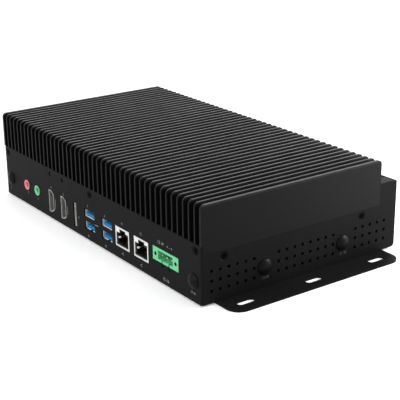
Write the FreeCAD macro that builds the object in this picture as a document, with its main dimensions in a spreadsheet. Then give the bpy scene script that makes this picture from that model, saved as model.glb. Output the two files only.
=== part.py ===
# Fanless industrial PC: a finned aluminium top that closes a folded steel case,
# with its ports on one long side and a slotted mounting plate under each end.
import FreeCAD, Part
import os
import re
import Sketcher

Vector = FreeCAD.Vector
PI = 3.141592653589793
doc = FreeCAD.newDocument("fanless_pc")

# Driving dimensions in millimetres.
# X runs along the port side, Y from the port side to the back, Z is up.
# Heights count from the case's underside and depths from the port side's outer face.
SIZES = [
    # port row, from the left wall's outer face to the right wall's
    ("jack_in", 34.4, "left wall to the pink jack"),
    ("jack_pitch", 16.0, "pink jack to the green jack"),
    ("jack_to_video", 21.3, "green jack to the left wide video port"),
    ("video_pitch", 17.6, "left to right wide video port"),
    ("video_to_slim", 16.3, "right wide video port to the slim one"),
    ("slim_to_usb", 19.7, "slim video port to the left port stack"),
    ("usb_pitch", 22.6, "left to right port stack"),
    ("usb_to_lan", 19.6, "right port stack to the left network jack"),
    ("lan_pitch", 22.2, "left to right network jack"),
    ("lan_to_power", 27.3, "right network jack to the power header"),
    ("power_in", 37.0, "power header to the right wall"),
    # the case as a whole
    ("case_depth", 155.3, "port side to back, outer faces"),
    ("sheet", 1.2, "thickness of the folded steel"),
    ("bend", 0.4, "inner radius of a fold"),
    ("slack", 0.1, "clearance between the folded sheets and the heat sink"),
    ("seam_top", 31.4, "height of the side walls, where the heat sink sits"),
    ("ledge", 5.2, "height of the heat sink's edge from the side walls to the fin roots"),
    ("panel_over", 0.5, "height of the port panel's edge over the fin roots"),
    ("rear_over", 9.5, "height of the box behind the fins over the fin roots"),
    ("rear_deep", 14.4, "depth of the box behind the fins"),
    ("rear_fold", 3.6, "how far the box's front fold reaches below the fin roots"),
    ("corner_low", 2.5, "radius of the case's lower rear corner"),
    ("corner_high", 1.5, "radius of the case's upper rear corner"),
    ("floor_fold", 3.6, "height of the floor's fold behind the port panel"),
    ("floor_side", 5.6, "height of the floor's folds inside the side walls"),
    # heat sink
    ("fin_high", 25.4, "height of a fin"),
    ("fin_count", 45, "fins, with the two flat end plates"),
    ("fin_thick", 1.3, "thickness of a fin"),
    ("end_thick", 2.0, "thickness of an end plate"),
    ("fin_round", 3.0, "radius of a fin's upper corners"),
    ("base_thick", 7.0, "thickness of the heat sink's base"),
    ("rail_high", 7.2, "height of the screw rails under the seam"),
    ("rail_thick", 6.0, "thickness of the screw rails"),
    # vents
    ("vent_radius", 1.1, "radius of a vent hole"),
    ("vent_low", 7.8, "height of the lowest row of side vents"),
    ("vent_rise", 6.28, "distance between the rows of side vents"),
    ("vent_first", 7.1, "depth of the first column of side vents"),
    ("vent_last", 10.04, "distance of the last column from the case's back"),
    ("vent_field_one", 6, "columns in the front field of side vents"),
    ("vent_field_two", 8, "columns in the middle field of side vents"),
    ("vent_field_three", 5, "columns in the rear field of side vents"),
    ("vent_skip", 2, "columns left out round each plug"),
    ("top_vent_count", 38, "vent holes in each row of the rear box's top"),
    ("top_vent_in", 9.25, "distance of the first top vent from the side wall"),
    ("top_vent_back", 3.5, "distance of the rear row of top vents from the case's back"),
    ("top_vent_rows", 3.2, "distance between the rows of top vents"),
    # countersunk screws
    ("cone_radius", 3.0, "radius of a screw seat's mouth"),
    ("head_sunk", 0.45, "how far a screw head lies in its seat"),
    ("shank_radius", 1.45, "radius of an M3 shank"),
    ("thread_radius", 1.5, "radius of an M3 threaded hole"),
    ("bore_gap", 0.1, "clearance round a shank"),
    ("screw_long", 7.6, "length of a case screw"),
    ("cross_wide", 0.45, "half width of a cross recess"),
    ("cross_reach", 1.5, "half length of a cross recess"),
    ("cross_deep", 0.6, "depth of a cross recess"),
    ("front_screw_in", 5.8, "distance of the port panel's outer screws from the side wall"),
    ("front_drop", 3.6, "port panel's screws and lamps below the fin roots"),
    ("side_first", 16.3, "depth of the front side screw"),
    ("side_last", 15.9, "distance of the rear side screw from the heat sink's back"),
    ("side_drop", 3.7, "side screws below the side walls' upper edge"),
    # hole plugs
    ("plug_radius", 5.0, "radius of a plug's head"),
    ("plug_edge", 0.5, "thickness of the head's edge"),
    ("plug_rise", 1.7, "height of the head's dome over its edge"),
    ("plug_stem", 3.15, "radius of the stem"),
    ("plug_lip", 3.45, "radius of the stem's snap rim"),
    ("plug_snap", 0.2, "gap between the sheet and the snap rim"),
    ("plug_taper", 0.5, "chamfer of the stem's snap rim and end"),
    ("plug_long", 4.0, "length of the stem"),
    ("plug_gap", 0.1, "clearance round the stem"),
    ("plug_row", 13.2, "height of all plugs"),
    ("front_plug_in", 8.4, "distance of the front plugs from the side wall"),
    ("plug_shift", 0.27, "side plug's place behind its vent field, in columns"),
    # mounting plates
    ("plate_thick", 1.2, "thickness of a mounting plate"),
    ("plate_reach", 19.0, "how far a plate stands out from the side wall"),
    ("plate_under", 19.0, "how far a plate lies under the case"),
    ("plate_front", 10.2, "distance of a plate's front end from the port side"),
    ("plate_back", 11.1, "distance of a plate's rear end from the back"),
    ("plate_round", 9.2, "radius of a plate's outer corners"),
    ("slot_out", 9.5, "distance of the slots from the side wall"),
    ("slot_in", 14.5, "distance of the outer slots from the plate's ends"),
    ("slot_long", 12.5, "length of a slot"),
    ("slot_radius", 2.4, "half width of a slot"),
    ("plate_screw_in", 10.0, "distance of the plate screws inside the side wall"),
    ("plate_land", 0.1, "straight part of the bore under a plate screw's cone"),
    ("plate_head_sunk", 0.1, "how far a plate screw's head lies in the plate"),
    ("nut_radius", 2.9, "radius of a pressed-in nut"),
    ("nut_high", 2.0, "height of a pressed-in nut"),
    ("nut_over", 0.5, "how far a plate screw stands out of its nut"),
    # main board
    ("board_low", 3.9, "height of the main board's underside"),
    ("board_thick", 1.6, "thickness of the main board"),
    ("board_side", 19.0, "distance of the main board from the case's side"),
    ("board_front", 2.8, "depth of the main board's front edge"),
    ("board_rear", 12.5, "distance of the main board from the case's back"),
    ("board_hole", 1.7, "radius of the board's screw holes"),
    ("board_bite", 2.2, "depth of a board screw in its post"),
    ("spot_in", 5.0, "distance of the board screws from the board's sides"),
    ("spot_front", 26.0, "depth of the front pair of board screws"),
    ("spot_back", 16.8, "distance of the rear pair from the board's back"),
    ("post_radius", 3.0, "radius of a board post"),
    ("pan_radius", 2.7, "radius of a pan head"),
    ("pan_high", 1.7, "height of a pan head"),
    ("pan_crown", 0.7, "chamfer of a pan head"),
    # what the ports share
    ("window_gap", 0.2, "clearance between a port and the panel"),
    ("port_wall", 0.4, "thickness of a port's metal shell"),
    ("port_inset", 0.9, "how far the sunk ports lie behind the panel's face"),
    ("root", 1.0, "how far a port's parts run into each other"),
    # audio jacks
    ("jack_proud", 0.5, "how far the jack collars stand out of the panel"),
    ("jack_lift", 9.5, "height of the jacks over the board"),
    ("jack_radius", 3.7, "radius of a jack's collar"),
    ("jack_bore", 1.8, "radius of a jack's bore"),
    ("jack_flare", 2.6, "radius of the bore's flared mouth"),
    ("jack_flare_deep", 0.8, "depth of the flared mouth"),
    ("jack_body", 12.6, "width of a jack's body"),
    ("jack_deep", 14.0, "depth of a jack's body"),
    ("jack_back", 2.0, "wall behind a jack's bore"),
    # upright video ports
    ("video_drop", 0.85, "wide video ports' lower ends below the board's top"),
    ("video_wide", 6.9, "width of a wide video port"),
    ("video_tall", 16.2, "height of a wide video port"),
    ("video_step", 3.4, "width of the port's straight part"),
    ("video_slope", 2.3, "how far the port narrows towards one side"),
    ("video_rim", 0.5, "width of the metal rim round the mouth"),
    ("video_deep", 12.0, "depth of a video port"),
    ("slim_drop", 1.35, "slim video port's lower end below the board's top"),
    ("slim_wide", 3.9, "width of the slim video port"),
    ("slim_tall", 17.3, "height of the slim video port"),
    ("slim_cut", 1.3, "size of the slim port's cut corner"),
    ("blade_thick", 1.2, "thickness of a contact blade"),
    ("blade_end", 2.5, "distance of a blade's ends from the port's ends"),
    ("blade_in", 3.5, "depth of a blade's front edge"),
    ("blade_foot", 2.0, "thickness of the block behind a blade"),
    ("blade_side", 0.6, "how far that block stands out beside the blade"),
    # stacked serial ports
    ("usb_lift", 4.4, "height of the lower ports over the board"),
    ("usb_rise", 8.55, "distance between lower and upper ports"),
    ("usb_wide", 12.9, "width of a port's mouth"),
    ("usb_tall", 5.5, "height of a port's mouth"),
    ("usb_deep", 17.5, "depth of a port stack"),
    ("usb_cheek", 0.5, "how far a stack's box stands out round the mouths"),
    ("tongue_side", 0.95, "distance of a tongue from the mouth's side"),
    ("tongue_thick", 2.5, "thickness of a port's tongue"),
    ("tongue_drop", 0.4, "gap over a tongue"),
    ("tongue_in", 1.5, "depth of a tongue's front edge"),
    ("tongue_root", 5.0, "thickness of the block behind a tongue"),
    ("spring_side", 3.2, "distance of the spring slots from a port's middle"),
    ("spring_wide", 1.7, "width of a spring slot"),
    ("spring_in", 2.2, "depth of a spring slot's front end"),
    ("spring_long", 6.0, "length of a spring slot"),
    ("spring_deep", 0.8, "how far a spring slot reaches into the floor"),
    # network jacks
    ("lan_lift", 2.6, "height of a network jack's lower edge over the board"),
    ("lan_proud", 0.2, "how far a network jack stands out of the panel"),
    ("lan_deep", 21.3, "depth of a network jack"),
    ("lan_mouth", 11.8, "width of the cavity that takes the plug"),
    ("lan_mouth_high", 7.0, "height of that cavity"),
    ("lan_cave", 14.0, "depth of that cavity"),
    ("lan_cheek", 1.1, "wall of the housing beside the cavity"),
    ("lan_rim", 1.2, "width of a network jack's metal rim"),
    ("lan_sill", 1.9, "height of the jack below the cavity"),
    ("lan_head", 2.2, "height of the jack over the latch slot"),
    ("lan_sunk", 0.6, "how far the housing lies behind the rim"),
    ("latch_wide", 6.2, "width of the latch slot over the cavity"),
    ("latch_high", 2.4, "height of the latch slot"),
    ("pipe_wide", 3.4, "width of a light pipe"),
    ("pipe_high_left", 2.6, "height of the left light pipe"),
    ("pipe_high_right", 1.5, "height of the right light pipe"),
    ("pipe_deep", 8.0, "depth of a light pipe's back end"),
    ("pipe_sunk", 0.1, "how far a light pipe lies behind the rim"),
    # power header
    ("power_lift", 7.9, "height of the power header over the board"),
    ("power_high", 8.7, "height of the power header"),
    ("power_proud", 0.3, "how far the power header stands out of the panel"),
    ("power_deep", 12.0, "depth of the power header"),
    ("power_mouth", 16.0, "width of the header's mouth"),
    ("power_lip", 1.5, "wall over and under the mouth"),
    ("power_cave", 9.0, "depth of the header's mouth"),
    ("ear_out", 2.85, "distance of the ear screws from the mouth"),
    ("ear_edge", 2.8, "distance of the ear screws from the header's ends"),
    ("ear_radius", 1.3, "radius of the ear screws' threads"),
    ("pin_pitch", 5.08, "distance between the power pins"),
    ("pin_side", 1.0, "side of a power pin"),
    ("pin_in", 1.4, "distance of the pins' tips behind the header's face"),
    ("pin_back", 1.0, "wall behind the pins' bores"),
    ("notch_side", 3.7, "distance of the two notches from the middle"),
    ("notch_wide", 1.2, "width of a notch"),
    ("notch_deep", 3.0, "how far the notches reach below the header"),
    ("notch_back", 4.0, "depth of the notches' back end"),
    # status lamps
    ("lamp_pitch", 18.1, "distance between the status lamps"),
    ("lamp_radius", 1.5, "radius of a status lamp"),
    ("lamp_flange", 0.3, "how far a status lamp's foot stands out"),
    ("lamp_foot", 1.0, "height of a status lamp's foot"),
    ("lamp_gap", 0.15, "clearance round a status lamp"),
    ("lamp_inset", 0.5, "how far a status lamp's tip lies inside the face"),
    ("lamp_board_back", 7.2, "depth of the lamp board's back"),
    ("lamp_board_thick", 1.0, "thickness of the lamp board"),
    ("lamp_board_edge", 3.45, "lamp board beyond the lamps' middles"),
    ("lamp_board_high", 7.0, "height of the lamp board"),
    ("lamp_board_over", 2.2, "lamp board's upper edge over the lamps' middles"),
    ("lamp_board_gap", 0.3, "clearance over the lamp board"),
    ("lamp_board_room", 1.0, "clearance beside the lamp board"),
    ("lamp_screw_drop", 0.6, "lamp board's screw below the lamps' middles"),
    ("tiny_shank", 0.95, "radius of the lamp board's screw"),
    ("tiny_head", 1.9, "radius of that screw's head"),
    ("tiny_head_high", 1.2, "height of that screw's head"),
    ("tiny_crown", 0.4, "chamfer of that screw's head"),
    ("tiny_bite", 3.5, "depth of that screw in the heat sink"),
    # processor and its heat path
    ("chip_x", 12.0, "place of the processor"),
    ("chip_y", 76.0, "depth of the processor"),
    ("chip_wide", 28.0, "side of the processor's carrier"),
    ("chip_thick", 1.2, "thickness of the carrier"),
    ("die_wide", 14.0, "side of the processor's die"),
    ("die_thick", 0.8, "thickness of the die"),
    ("pad_thick", 0.5, "thickness of the thermal pad"),
    ("pad_wide", 18.0, "side of the thermal pad"),
    ("block_foot", 22.0, "side of the block's foot on the pad"),
    ("block_foot_high", 3.0, "height of the block's foot"),
    ("block_wide", 46.0, "side of the thermal block"),
    ("block_edge", 5.0, "distance of the block's screws from its sides"),
    ("block_bite", 4.0, "depth of the block's screws in the heat sink"),
    ("hole_spare", 1.0, "how much deeper a threaded hole is than its screw"),
    # memory and drive
    ("memory_x", -46.0, "place of the memory module"),
    ("memory_y", 70.0, "depth of the memory socket's front"),
    ("memory_wide", 67.6, "width of the memory module"),
    ("memory_deep", 30.0, "size of the memory module from edge to edge"),
    ("memory_lift", 2.0, "height of the memory module over the board"),
    ("memory_edge", 4.3, "distance of the first memory chip from the module's side"),
    ("memory_chips", 4, "memory chips on the module"),
    ("memory_chip_wide", 11.0, "width of a memory chip"),
    ("memory_chip_in", 9.0, "distance of the memory chips from the module's contacts"),
    ("memory_chip_deep", 12.0, "size of a memory chip from front to back"),
    ("drive_aside", 22.0, "drive module to the left of the power coils"),
    ("drive_back", 4.8, "distance of the drive module's screw from the board's back"),
    ("drive_wide", 22.0, "width of the drive module"),
    ("drive_long", 80.0, "length of the drive module"),
    ("drive_lift", 2.4, "height of the drive module over the board"),
    ("drive_chip_first", 14.0, "distance of the first drive chip from the contacts"),
    ("drive_chip_last", 13.0, "distance of the last drive chip from the screw"),
    ("drive_chip_wide", 16.0, "width of a drive chip"),
    ("drive_chip_long", 12.0, "size of a drive chip along the module"),
    ("drive_notch", 1.8, "radius of the drive module's screw notch"),
    ("drive_chips", 3, "chips on the drive module"),
    ("chip_high", 1.1, "height of a module's chips"),
    ("module_thick", 0.8, "thickness of a module's board"),
    ("socket_deep", 8.0, "depth of a module socket"),
    ("socket_high", 4.2, "height of a module socket"),
    ("socket_end", 1.5, "wall of a socket beside its slot"),
    ("arm_gap", 0.5, "clearance between the memory module and the socket's arms"),
    ("arm_thick", 1.0, "thickness of a socket's arm"),
    ("arm_over", 1.0, "height of the arms over the memory module"),
    ("rest_in", 0.8, "how far an arm's rest reaches under the module"),
    ("rest_long", 4.0, "length of an arm's rest"),
    ("tip_gap", 0.3, "distance of a screw's tip from the board"),
    # clock cell
    ("cell_in", 26.0, "distance of the clock cell from the board's side"),
    ("cell_ahead", 22.0, "clock cell in front of the memory socket"),
    ("cell_radius", 10.0, "radius of the clock cell"),
    ("cell_thick", 2.6, "thickness of the clock cell's can"),
    ("cap_thick", 0.6, "thickness of the clock cell's cap"),
    ("cap_step", 1.4, "how much smaller the cap is than the can"),
    ("holder_wall", 1.4, "wall of the cell's holder"),
    ("holder_floor", 0.8, "floor of the cell's holder"),
    # power parts on the board
    ("can_in", 11.0, "distance of the capacitors from the board's side"),
    ("can_first", 36.0, "depth of the first capacitor"),
    ("can_pitch", 9.0, "distance between capacitors"),
    ("can_radius", 3.15, "radius of a capacitor"),
    ("can_high", 7.7, "height of a capacitor"),
    ("can_aside", 13.0, "power coils to the left of the capacitors"),
    ("coil_first", 34.0, "depth of the first power coil"),
    ("coil_pitch", 14.0, "distance between power coils"),
    ("coil_side", 10.0, "side of a power coil"),
    ("coil_high", 4.6, "height of a power coil"),
    ("logic_side", 11.0, "side of an interface chip"),
    ("logic_high", 1.2, "height of an interface chip"),
    ("logic_first", -30.0, "place of the first interface chip"),
    ("logic_pitch", 34.0, "distance between interface chips"),
    ("logic_y", 38.0, "depth of the interface chips"),
]

# Sizes and places that follow from the driving ones.
RULES = {
    # places along the port row, from the middle of the case
    "pink_x": "jack_in - half",
    "green_x": "pink_x + jack_pitch",
    "video_left_x": "green_x + jack_to_video",
    "video_right_x": "video_left_x + video_pitch",
    "slim_x": "video_right_x + video_to_slim",
    "usb_left_x": "slim_x + slim_to_usb",
    "usb_right_x": "usb_left_x + usb_pitch",
    "lan_left_x": "usb_right_x + usb_to_lan",
    "lan_right_x": "lan_left_x + lan_pitch",
    "power_x": "half - power_in",
    "case_width": (
        "jack_in + jack_pitch + jack_to_video + video_pitch + video_to_slim + slim_to_usb"
        " + usb_pitch + usb_to_lan + lan_pitch + lan_to_power + power_in"
    ),
    # the case and its heat sink
    "half": "case_width / 2",
    "middle": "(case_depth - plug_edge - plug_rise) / 2",
    "inner": "half - sheet - slack",
    "across": "case_width + 2",
    "sink_front": "sheet + slack",
    "sink_depth": "case_depth - rear_deep",
    "rear_face": "sink_depth + slack",
    "fold_clear": "sheet + bend + slack",
    "base_top": "seam_top + ledge",
    "base_low": "base_top - base_thick",
    "rail_low": "seam_top - rail_high",
    "panel_top": "base_top + panel_over",
    "rear_top": "base_top + rear_over",
    "fin_top": "base_top + fin_high",
    "fin_pitch": "(case_width - end_thick) / (fin_count - 1)",
    "first_fin": "end_thick / 2 + fin_pitch - half",
    # vents and plugs
    "columns": "vent_field_one + vent_field_two + vent_field_three + 2 * vent_skip - 1",
    "side_pitch": "(case_depth - vent_first - vent_last) / columns",
    "top_pitch": "(case_width - 2 * top_vent_in) / (top_vent_count - 0.5)",
    "side_plug_first": "vent_first + (vent_field_one + plug_shift) * side_pitch",
    "side_plug_span": "(vent_skip + vent_field_two) * side_pitch",
    "front_plug_x": "half - front_plug_in",
    "plug_hole": "plug_stem + plug_gap",
    # screws
    "head_radius": "cone_radius - head_sunk",
    "head_deep": "sheet - head_sunk",
    "front_span": "half - front_screw_in",
    "front_row": "base_top - front_drop",
    "side_row": "seam_top - side_drop",
    "side_span": "sink_depth - side_first - side_last",
    "bore": "shank_radius + bore_gap",
    # mounting plates
    "plate_long": "case_depth - plate_front - plate_back",
    "plate_middle": "plate_front + plate_long / 2",
    "slot_pitch": "plate_long / 2 - slot_in",
    "plate_screw_x": "half - plate_screw_in",
    "plate_cone": "plate_thick - plate_land",
    "plate_screw_long": "plate_thick + sheet + nut_high + nut_over - plate_head_sunk",
    # main board
    "board_top": "board_low + board_thick",
    "board_half": "half - board_side",
    "board_back": "case_depth - board_rear",
    "spot_x": "board_half - spot_in",
    "spot_pitch": "(board_back - spot_back - spot_front) / 2",
    # ports
    "jack_row": "board_top + jack_lift",
    "video_low": "board_top - video_drop",
    "slim_low": "board_top - slim_drop",
    "usb_low_row": "board_top + usb_lift",
    "usb_high_row": "usb_low_row + usb_rise",
    "usb_box_top": "usb_high_row + usb_tall / 2 + usb_cheek",
    "lan_low": "board_top + lan_lift",
    "lan_wide": "lan_mouth + 2 * lan_cheek + 2 * lan_rim",
    "lan_inside": "lan_wide / 2 - lan_rim",
    "mouth_low": "lan_low + lan_sill",
    "mouth_top": "mouth_low + lan_mouth_high",
    "latch_top": "mouth_top + latch_high",
    "lan_top": "latch_top + lan_head",
    "pipe_top": "lan_top - lan_rim",
    "power_low": "board_top + power_lift",
    "power_top": "power_low + power_high",
    "power_row": "power_low + power_high / 2",
    "ear_x": "power_mouth / 2 + ear_out",
    "power_wide": "2 * (ear_x + ear_edge)",
    "notch_low": "power_low - notch_deep",
    # status lamps
    "lamp_middle": "(video_left_x + video_right_x) / 2",
    "lamp_board_wide": "lamp_pitch + 2 * lamp_board_edge",
    "lamp_board_top": "front_row + lamp_board_over",
    "lamp_seat": "lamp_board_back - lamp_board_thick",
    "lamp_screw_row": "front_row - lamp_screw_drop",
    # processor, memory and drive
    "pad_low": "board_top + chip_thick + die_thick",
    "pad_top": "pad_low + pad_thick",
    "foot_top": "pad_top + block_foot_high",
    "block_spot": "block_wide / 2 - block_edge",
    "memory_start": "memory_y + socket_deep / 2",
    "memory_low": "board_top + memory_lift",
    "memory_top": "memory_low + module_thick",
    "memory_pitch": "(memory_wide - 2 * memory_edge - memory_chip_wide) / (memory_chips - 1)",
    "can_x": "board_half - can_in",
    "coil_x": "can_x - can_aside",
    "drive_x": "coil_x - drive_aside",
    "drive_end": "board_back - drive_back",
    "drive_start": "drive_end - drive_long",
    "drive_y": "drive_start - socket_deep / 2",
    "drive_low": "board_top + drive_lift",
    "drive_top": "drive_low + module_thick",
    "drive_chip_pitch": (
        "(drive_long - drive_chip_first - drive_chip_last - drive_chip_long) / (drive_chips - 1)"
    ),
    "cell_x": "cell_in - board_half",
    "cell_y": "memory_y - cell_ahead",
    "cell_low": "board_top + holder_floor",
    "cell_top": "cell_low + cell_thick",
}

sizes = doc.addObject("Spreadsheet::Sheet", "sizes")
for line, (alias, size, meaning) in enumerate(SIZES, 1):
    sizes.set(f"A{line}", meaning)
    sizes.set(f"B{line}", str(size))
    sizes.setAlias(f"B{line}", alias)
doc.recompute()
aliases = {alias for alias, size, meaning in SIZES}


def linked(text):
    """The text with its rules written out and each size turned into a reference to its cell."""
    return re.sub(r"[a-z_]+", lambda word: cell(word.group(0)), text)


def cell(word):
    if word in RULES:
        return f"({linked(RULES[word])})"
    return "sizes." + word if word in aliases else word


def amount(text):
    return float(sizes.evalExpression(linked(text)))


def near(value, text):
    return abs(value - amount(text)) < 0.01


def new_body(label, x="0", y="0", z="0", turn=None):
    """A body in the case's coordinates, moved as a whole so that it stands on the plates."""
    body = doc.addObject("PartDesign::Body", label)
    body.Label = label
    if turn:
        axis, angle = turn
        body.Placement = FreeCAD.Placement(Vector(), FreeCAD.Rotation(axis, angle))
    body.setExpression("Placement.Base.x", linked(x))
    body.setExpression("Placement.Base.y", linked(f"{y} - middle"))
    body.setExpression("Placement.Base.z", linked(f"{z} + plate_thick"))
    return body


def origin_part(body, role):
    return next(part for part in body.Origin.OriginFeatures if part.Role == role)


def draw(body, plane, height="0"):
    """A sketch parallel to one of the body's origin planes."""
    sketch = body.newObject("Sketcher::SketchObject", f"{body.Name}_outline")
    sketch.AttachmentSupport = (origin_part(body, plane), [""])
    sketch.MapMode = "FlatFace"
    sketch.setExpression("AttachmentOffset.Base.z", linked(height))
    return sketch


def bind(sketch, kind, places, text):
    index = sketch.addConstraint(Sketcher.Constraint(kind, *places, amount(text)))
    sketch.setExpression(f"Constraints[{index}]", linked(text))


def place(sketch, line, end, x, y):
    """Holds one point of a sketch at a place given by the sheet."""
    for kind, text, axis in (("DistanceX", x, -2), ("DistanceY", y, -1)):
        if abs(amount(text)) < 1e-6:
            sketch.addConstraint(Sketcher.Constraint("PointOnObject", line, end, axis))
        else:
            bind(sketch, kind, (-1, 1, line, end), text)


def arc_between(start, end, centre):
    """The shorter arc from start to end, and which of its ends is the start."""
    radius = (start - centre).Length
    from_angle = Vector(1, 0, 0).getAngle(start - centre)
    to_angle = Vector(1, 0, 0).getAngle(end - centre)
    if (start - centre).y < 0:
        from_angle = -from_angle
    if (end - centre).y < 0:
        to_angle = -to_angle
    turn = (to_angle - from_angle) % (2 * PI)
    curve = Part.Circle(centre, Vector(0, 0, 1), radius)
    if turn <= PI:
        return Part.ArcOfCircle(curve, from_angle, from_angle + turn), 1, 2
    return Part.ArcOfCircle(curve, to_angle, to_angle + 2 * PI - turn), 2, 1


def outline(sketch, corners):
    """A closed outline. A corner with four values starts an arc round the last two."""
    points = [Vector(amount(corner[0]), amount(corner[1]), 0) for corner in corners]
    ends = []
    for index, corner in enumerate(corners):
        start = points[index]
        end = points[(index + 1) % len(points)]
        if len(corner) == 4:
            centre = Vector(amount(corner[2]), amount(corner[3]), 0)
            curve, first, last = arc_between(start, end, centre)
        else:
            curve, first, last = Part.LineSegment(start, end), 1, 2
        ends.append((sketch.addGeometry(curve), first, last))
    for index, corner in enumerate(corners):
        line, first, last = ends[index]
        after, after_first, _ = ends[(index + 1) % len(ends)]
        sketch.addConstraint(Sketcher.Constraint("Coincident", line, last, after, after_first))
        place(sketch, line, first, corner[0], corner[1])
        if len(corner) == 4:
            chord = points[(index + 1) % len(points)] - points[index]
            if abs(chord.y) > abs(chord.x):
                hold_centre(sketch, line, "DistanceX", corner[2], -2)
            else:
                hold_centre(sketch, line, "DistanceY", corner[3], -1)


def hold_centre(sketch, arc, kind, text, axis):
    if abs(amount(text)) < 1e-6:
        sketch.addConstraint(Sketcher.Constraint("PointOnObject", arc, 3, axis))
    else:
        bind(sketch, kind, (-1, 1, arc, 3), text)


def rectangle(sketch, left, right, low, high):
    outline(sketch, [(left, low), (right, low), (right, high), (left, high)])


def centred(sketch, x, y, wide, tall):
    """A rectangle round its middle."""
    rectangle(
        sketch, f"{x} - ({wide}) / 2", f"{x} + ({wide}) / 2",
        f"{y} - ({tall}) / 2", f"{y} + ({tall}) / 2",
    )


def circle(sketch, x, y, radius):
    curve = Part.Circle(Vector(amount(x), amount(y), 0), Vector(0, 0, 1), amount(radius))
    line = sketch.addGeometry(curve)
    place(sketch, line, 3, x, y)
    bind(sketch, "Radius", (line,), radius)


def slot(sketch, x, y, straight, radius):
    """A slot along the sketch's second axis, with round ends."""
    low = f"{y} - ({straight}) / 2"
    high = f"{y} + ({straight}) / 2"
    outline(sketch, [
        (f"{x} + {radius}", low),
        (f"{x} + {radius}", high, x, high),
        (x, f"{high} + {radius}", x, high),
        (f"{x} - {radius}", high),
        (f"{x} - {radius}", low, x, low),
        (x, f"{low} - {radius}", x, low),
    ])


def finish(body, feature, cuts):
    """Recomputes the body and makes sure that a cut took something away."""
    before = body.Tip.Shape.Volume if body.Tip and body.Tip != feature else 0.0
    body.Tip = feature
    doc.recompute()
    after = feature.Shape.Volume
    if cuts and not after < before - 1e-6:
        raise RuntimeError(f"{feature.Label} in {body.Label} cuts nothing")
    if not cuts and not after > before + 1e-6:
        raise RuntimeError(f"{feature.Label} in {body.Label} adds nothing")
    return feature


def pad(body, sketch, length, back=False, both=False):
    return extruded(body, "PartDesign::Pad", sketch, length, back, both, cuts=False)


def pocket(body, sketch, length, back=False, both=False):
    return extruded(body, "PartDesign::Pocket", sketch, length, back, both, cuts=True)


def extruded(body, kind, sketch, length, back, both, cuts):
    before = body.Tip
    feature = body.newObject(kind, "Extruded")
    body.Tip = before
    feature.Profile = sketch
    feature.SideType = "Symmetric" if both else "One side"
    feature.Reversed = back
    feature.setExpression("Length", linked(length))
    return finish(body, feature, cuts)


def turned(body, sketch, axis="V_Axis", cuts=False):
    """A revolved solid, or a revolved cut, about an axis of the sketch."""
    before = body.Tip
    kind = "PartDesign::Groove" if cuts else "PartDesign::Revolution"
    feature = body.newObject(kind, "Turned")
    body.Tip = before
    feature.Profile = sketch
    feature.ReferenceAxis = (sketch, [axis])
    feature.Angle = 360
    return finish(body, feature, cuts)


def axis_line(sketch, start_x, start_y, end_x, end_y):
    """A construction line to turn an outline about, by its name in the sketch."""
    start = Vector(amount(start_x), amount(start_y), 0)
    end = Vector(amount(end_x), amount(end_y), 0)
    line = sketch.addGeometry(Part.LineSegment(start, end), True)
    place(sketch, line, 1, start_x, start_y)
    place(sketch, line, 2, end_x, end_y)
    return "Axis0"


def row(body, features, axis, spacing, count, cuts=False):
    """Repeats features of a body along one of its axes, or the whole body if none is given."""
    before = body.Tip
    feature = body.newObject("PartDesign::LinearPattern", "Row")
    body.Tip = before
    if features:
        feature.Originals = features
    else:
        feature.TransformMode = "Whole shape"
    feature.Direction = (origin_part(body, axis), [""])
    feature.Mode = "Spacing"
    feature.setExpression("Offset", linked(spacing))
    feature.setExpression("Occurrences", linked(count))
    return finish(body, feature, cuts)


def mirrored(body, plane):
    before = body.Tip
    feature = body.newObject("PartDesign::Mirrored", "Mirrored")
    body.Tip = before
    feature.TransformMode = "Whole shape"
    feature.MirrorPlane = (origin_part(body, plane), [""])
    return finish(body, feature, cuts=False)


def rounded(body, radius, wanted):
    """Rounds the straight edges that the given test picks, by their middle and direction."""
    before = body.Tip
    picked = []
    for index, edge in enumerate(before.Shape.Edges, 1):
        if edge.Curve.TypeId != "Part::GeomLine":
            continue
        if wanted(edge.CenterOfMass, edge.Curve.Direction):
            picked.append(f"Edge{index}")
    if not picked:
        raise RuntimeError(f"no edge to round in {body.Label}")
    feature = body.newObject("PartDesign::Fillet", "Fillet")
    body.Tip = before
    feature.Base = (before, picked)
    feature.setExpression("Radius", linked(radius))
    body.Tip = feature
    doc.recompute()
    return feature


def upright(x, y):
    """Picks the upright edges at a place. A place of None fits any."""
    return lambda at, way: (
        abs(way.z) > 0.9 and (x is None or near(at.x, x)) and (y is None or near(at.y, y))
    )


def lying(y, z):
    """Picks the edges along X at a depth and a height."""
    return lambda at, way: abs(way.x) > 0.9 and near(at.y, y) and near(at.z, z)


def block(body, left, right, front, back, low, high):
    sketch = draw(body, "XY_Plane", low)
    rectangle(sketch, left, right, front, back)
    return pad(body, sketch, f"({high}) - ({low})")


def around(body, x, y, wide, deep, low, high):
    """A block centred on a place of the board."""
    sketch = draw(body, "XY_Plane", low)
    centred(sketch, x, y, wide, deep)
    return pad(body, sketch, f"({high}) - ({low})")


def hollow(body, left, right, front, back, low, high):
    sketch = draw(body, "XY_Plane", low)
    rectangle(sketch, left, right, front, back)
    return pocket(body, sketch, f"({high}) - ({low})", back=True)


# Turns that point a body's own Z axis at a face of the case.
TO_FRONT = (Vector(1, 0, 0), 90)
TO_SIDE = (Vector(0, 1, 0), 90)
UPSIDE_DOWN = (Vector(1, 0, 0), 180)

# Depths of the three slots in a mounting plate.
SLOT_PLACES = ("plate_middle - slot_pitch", "plate_middle", "plate_middle + slot_pitch")


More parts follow.
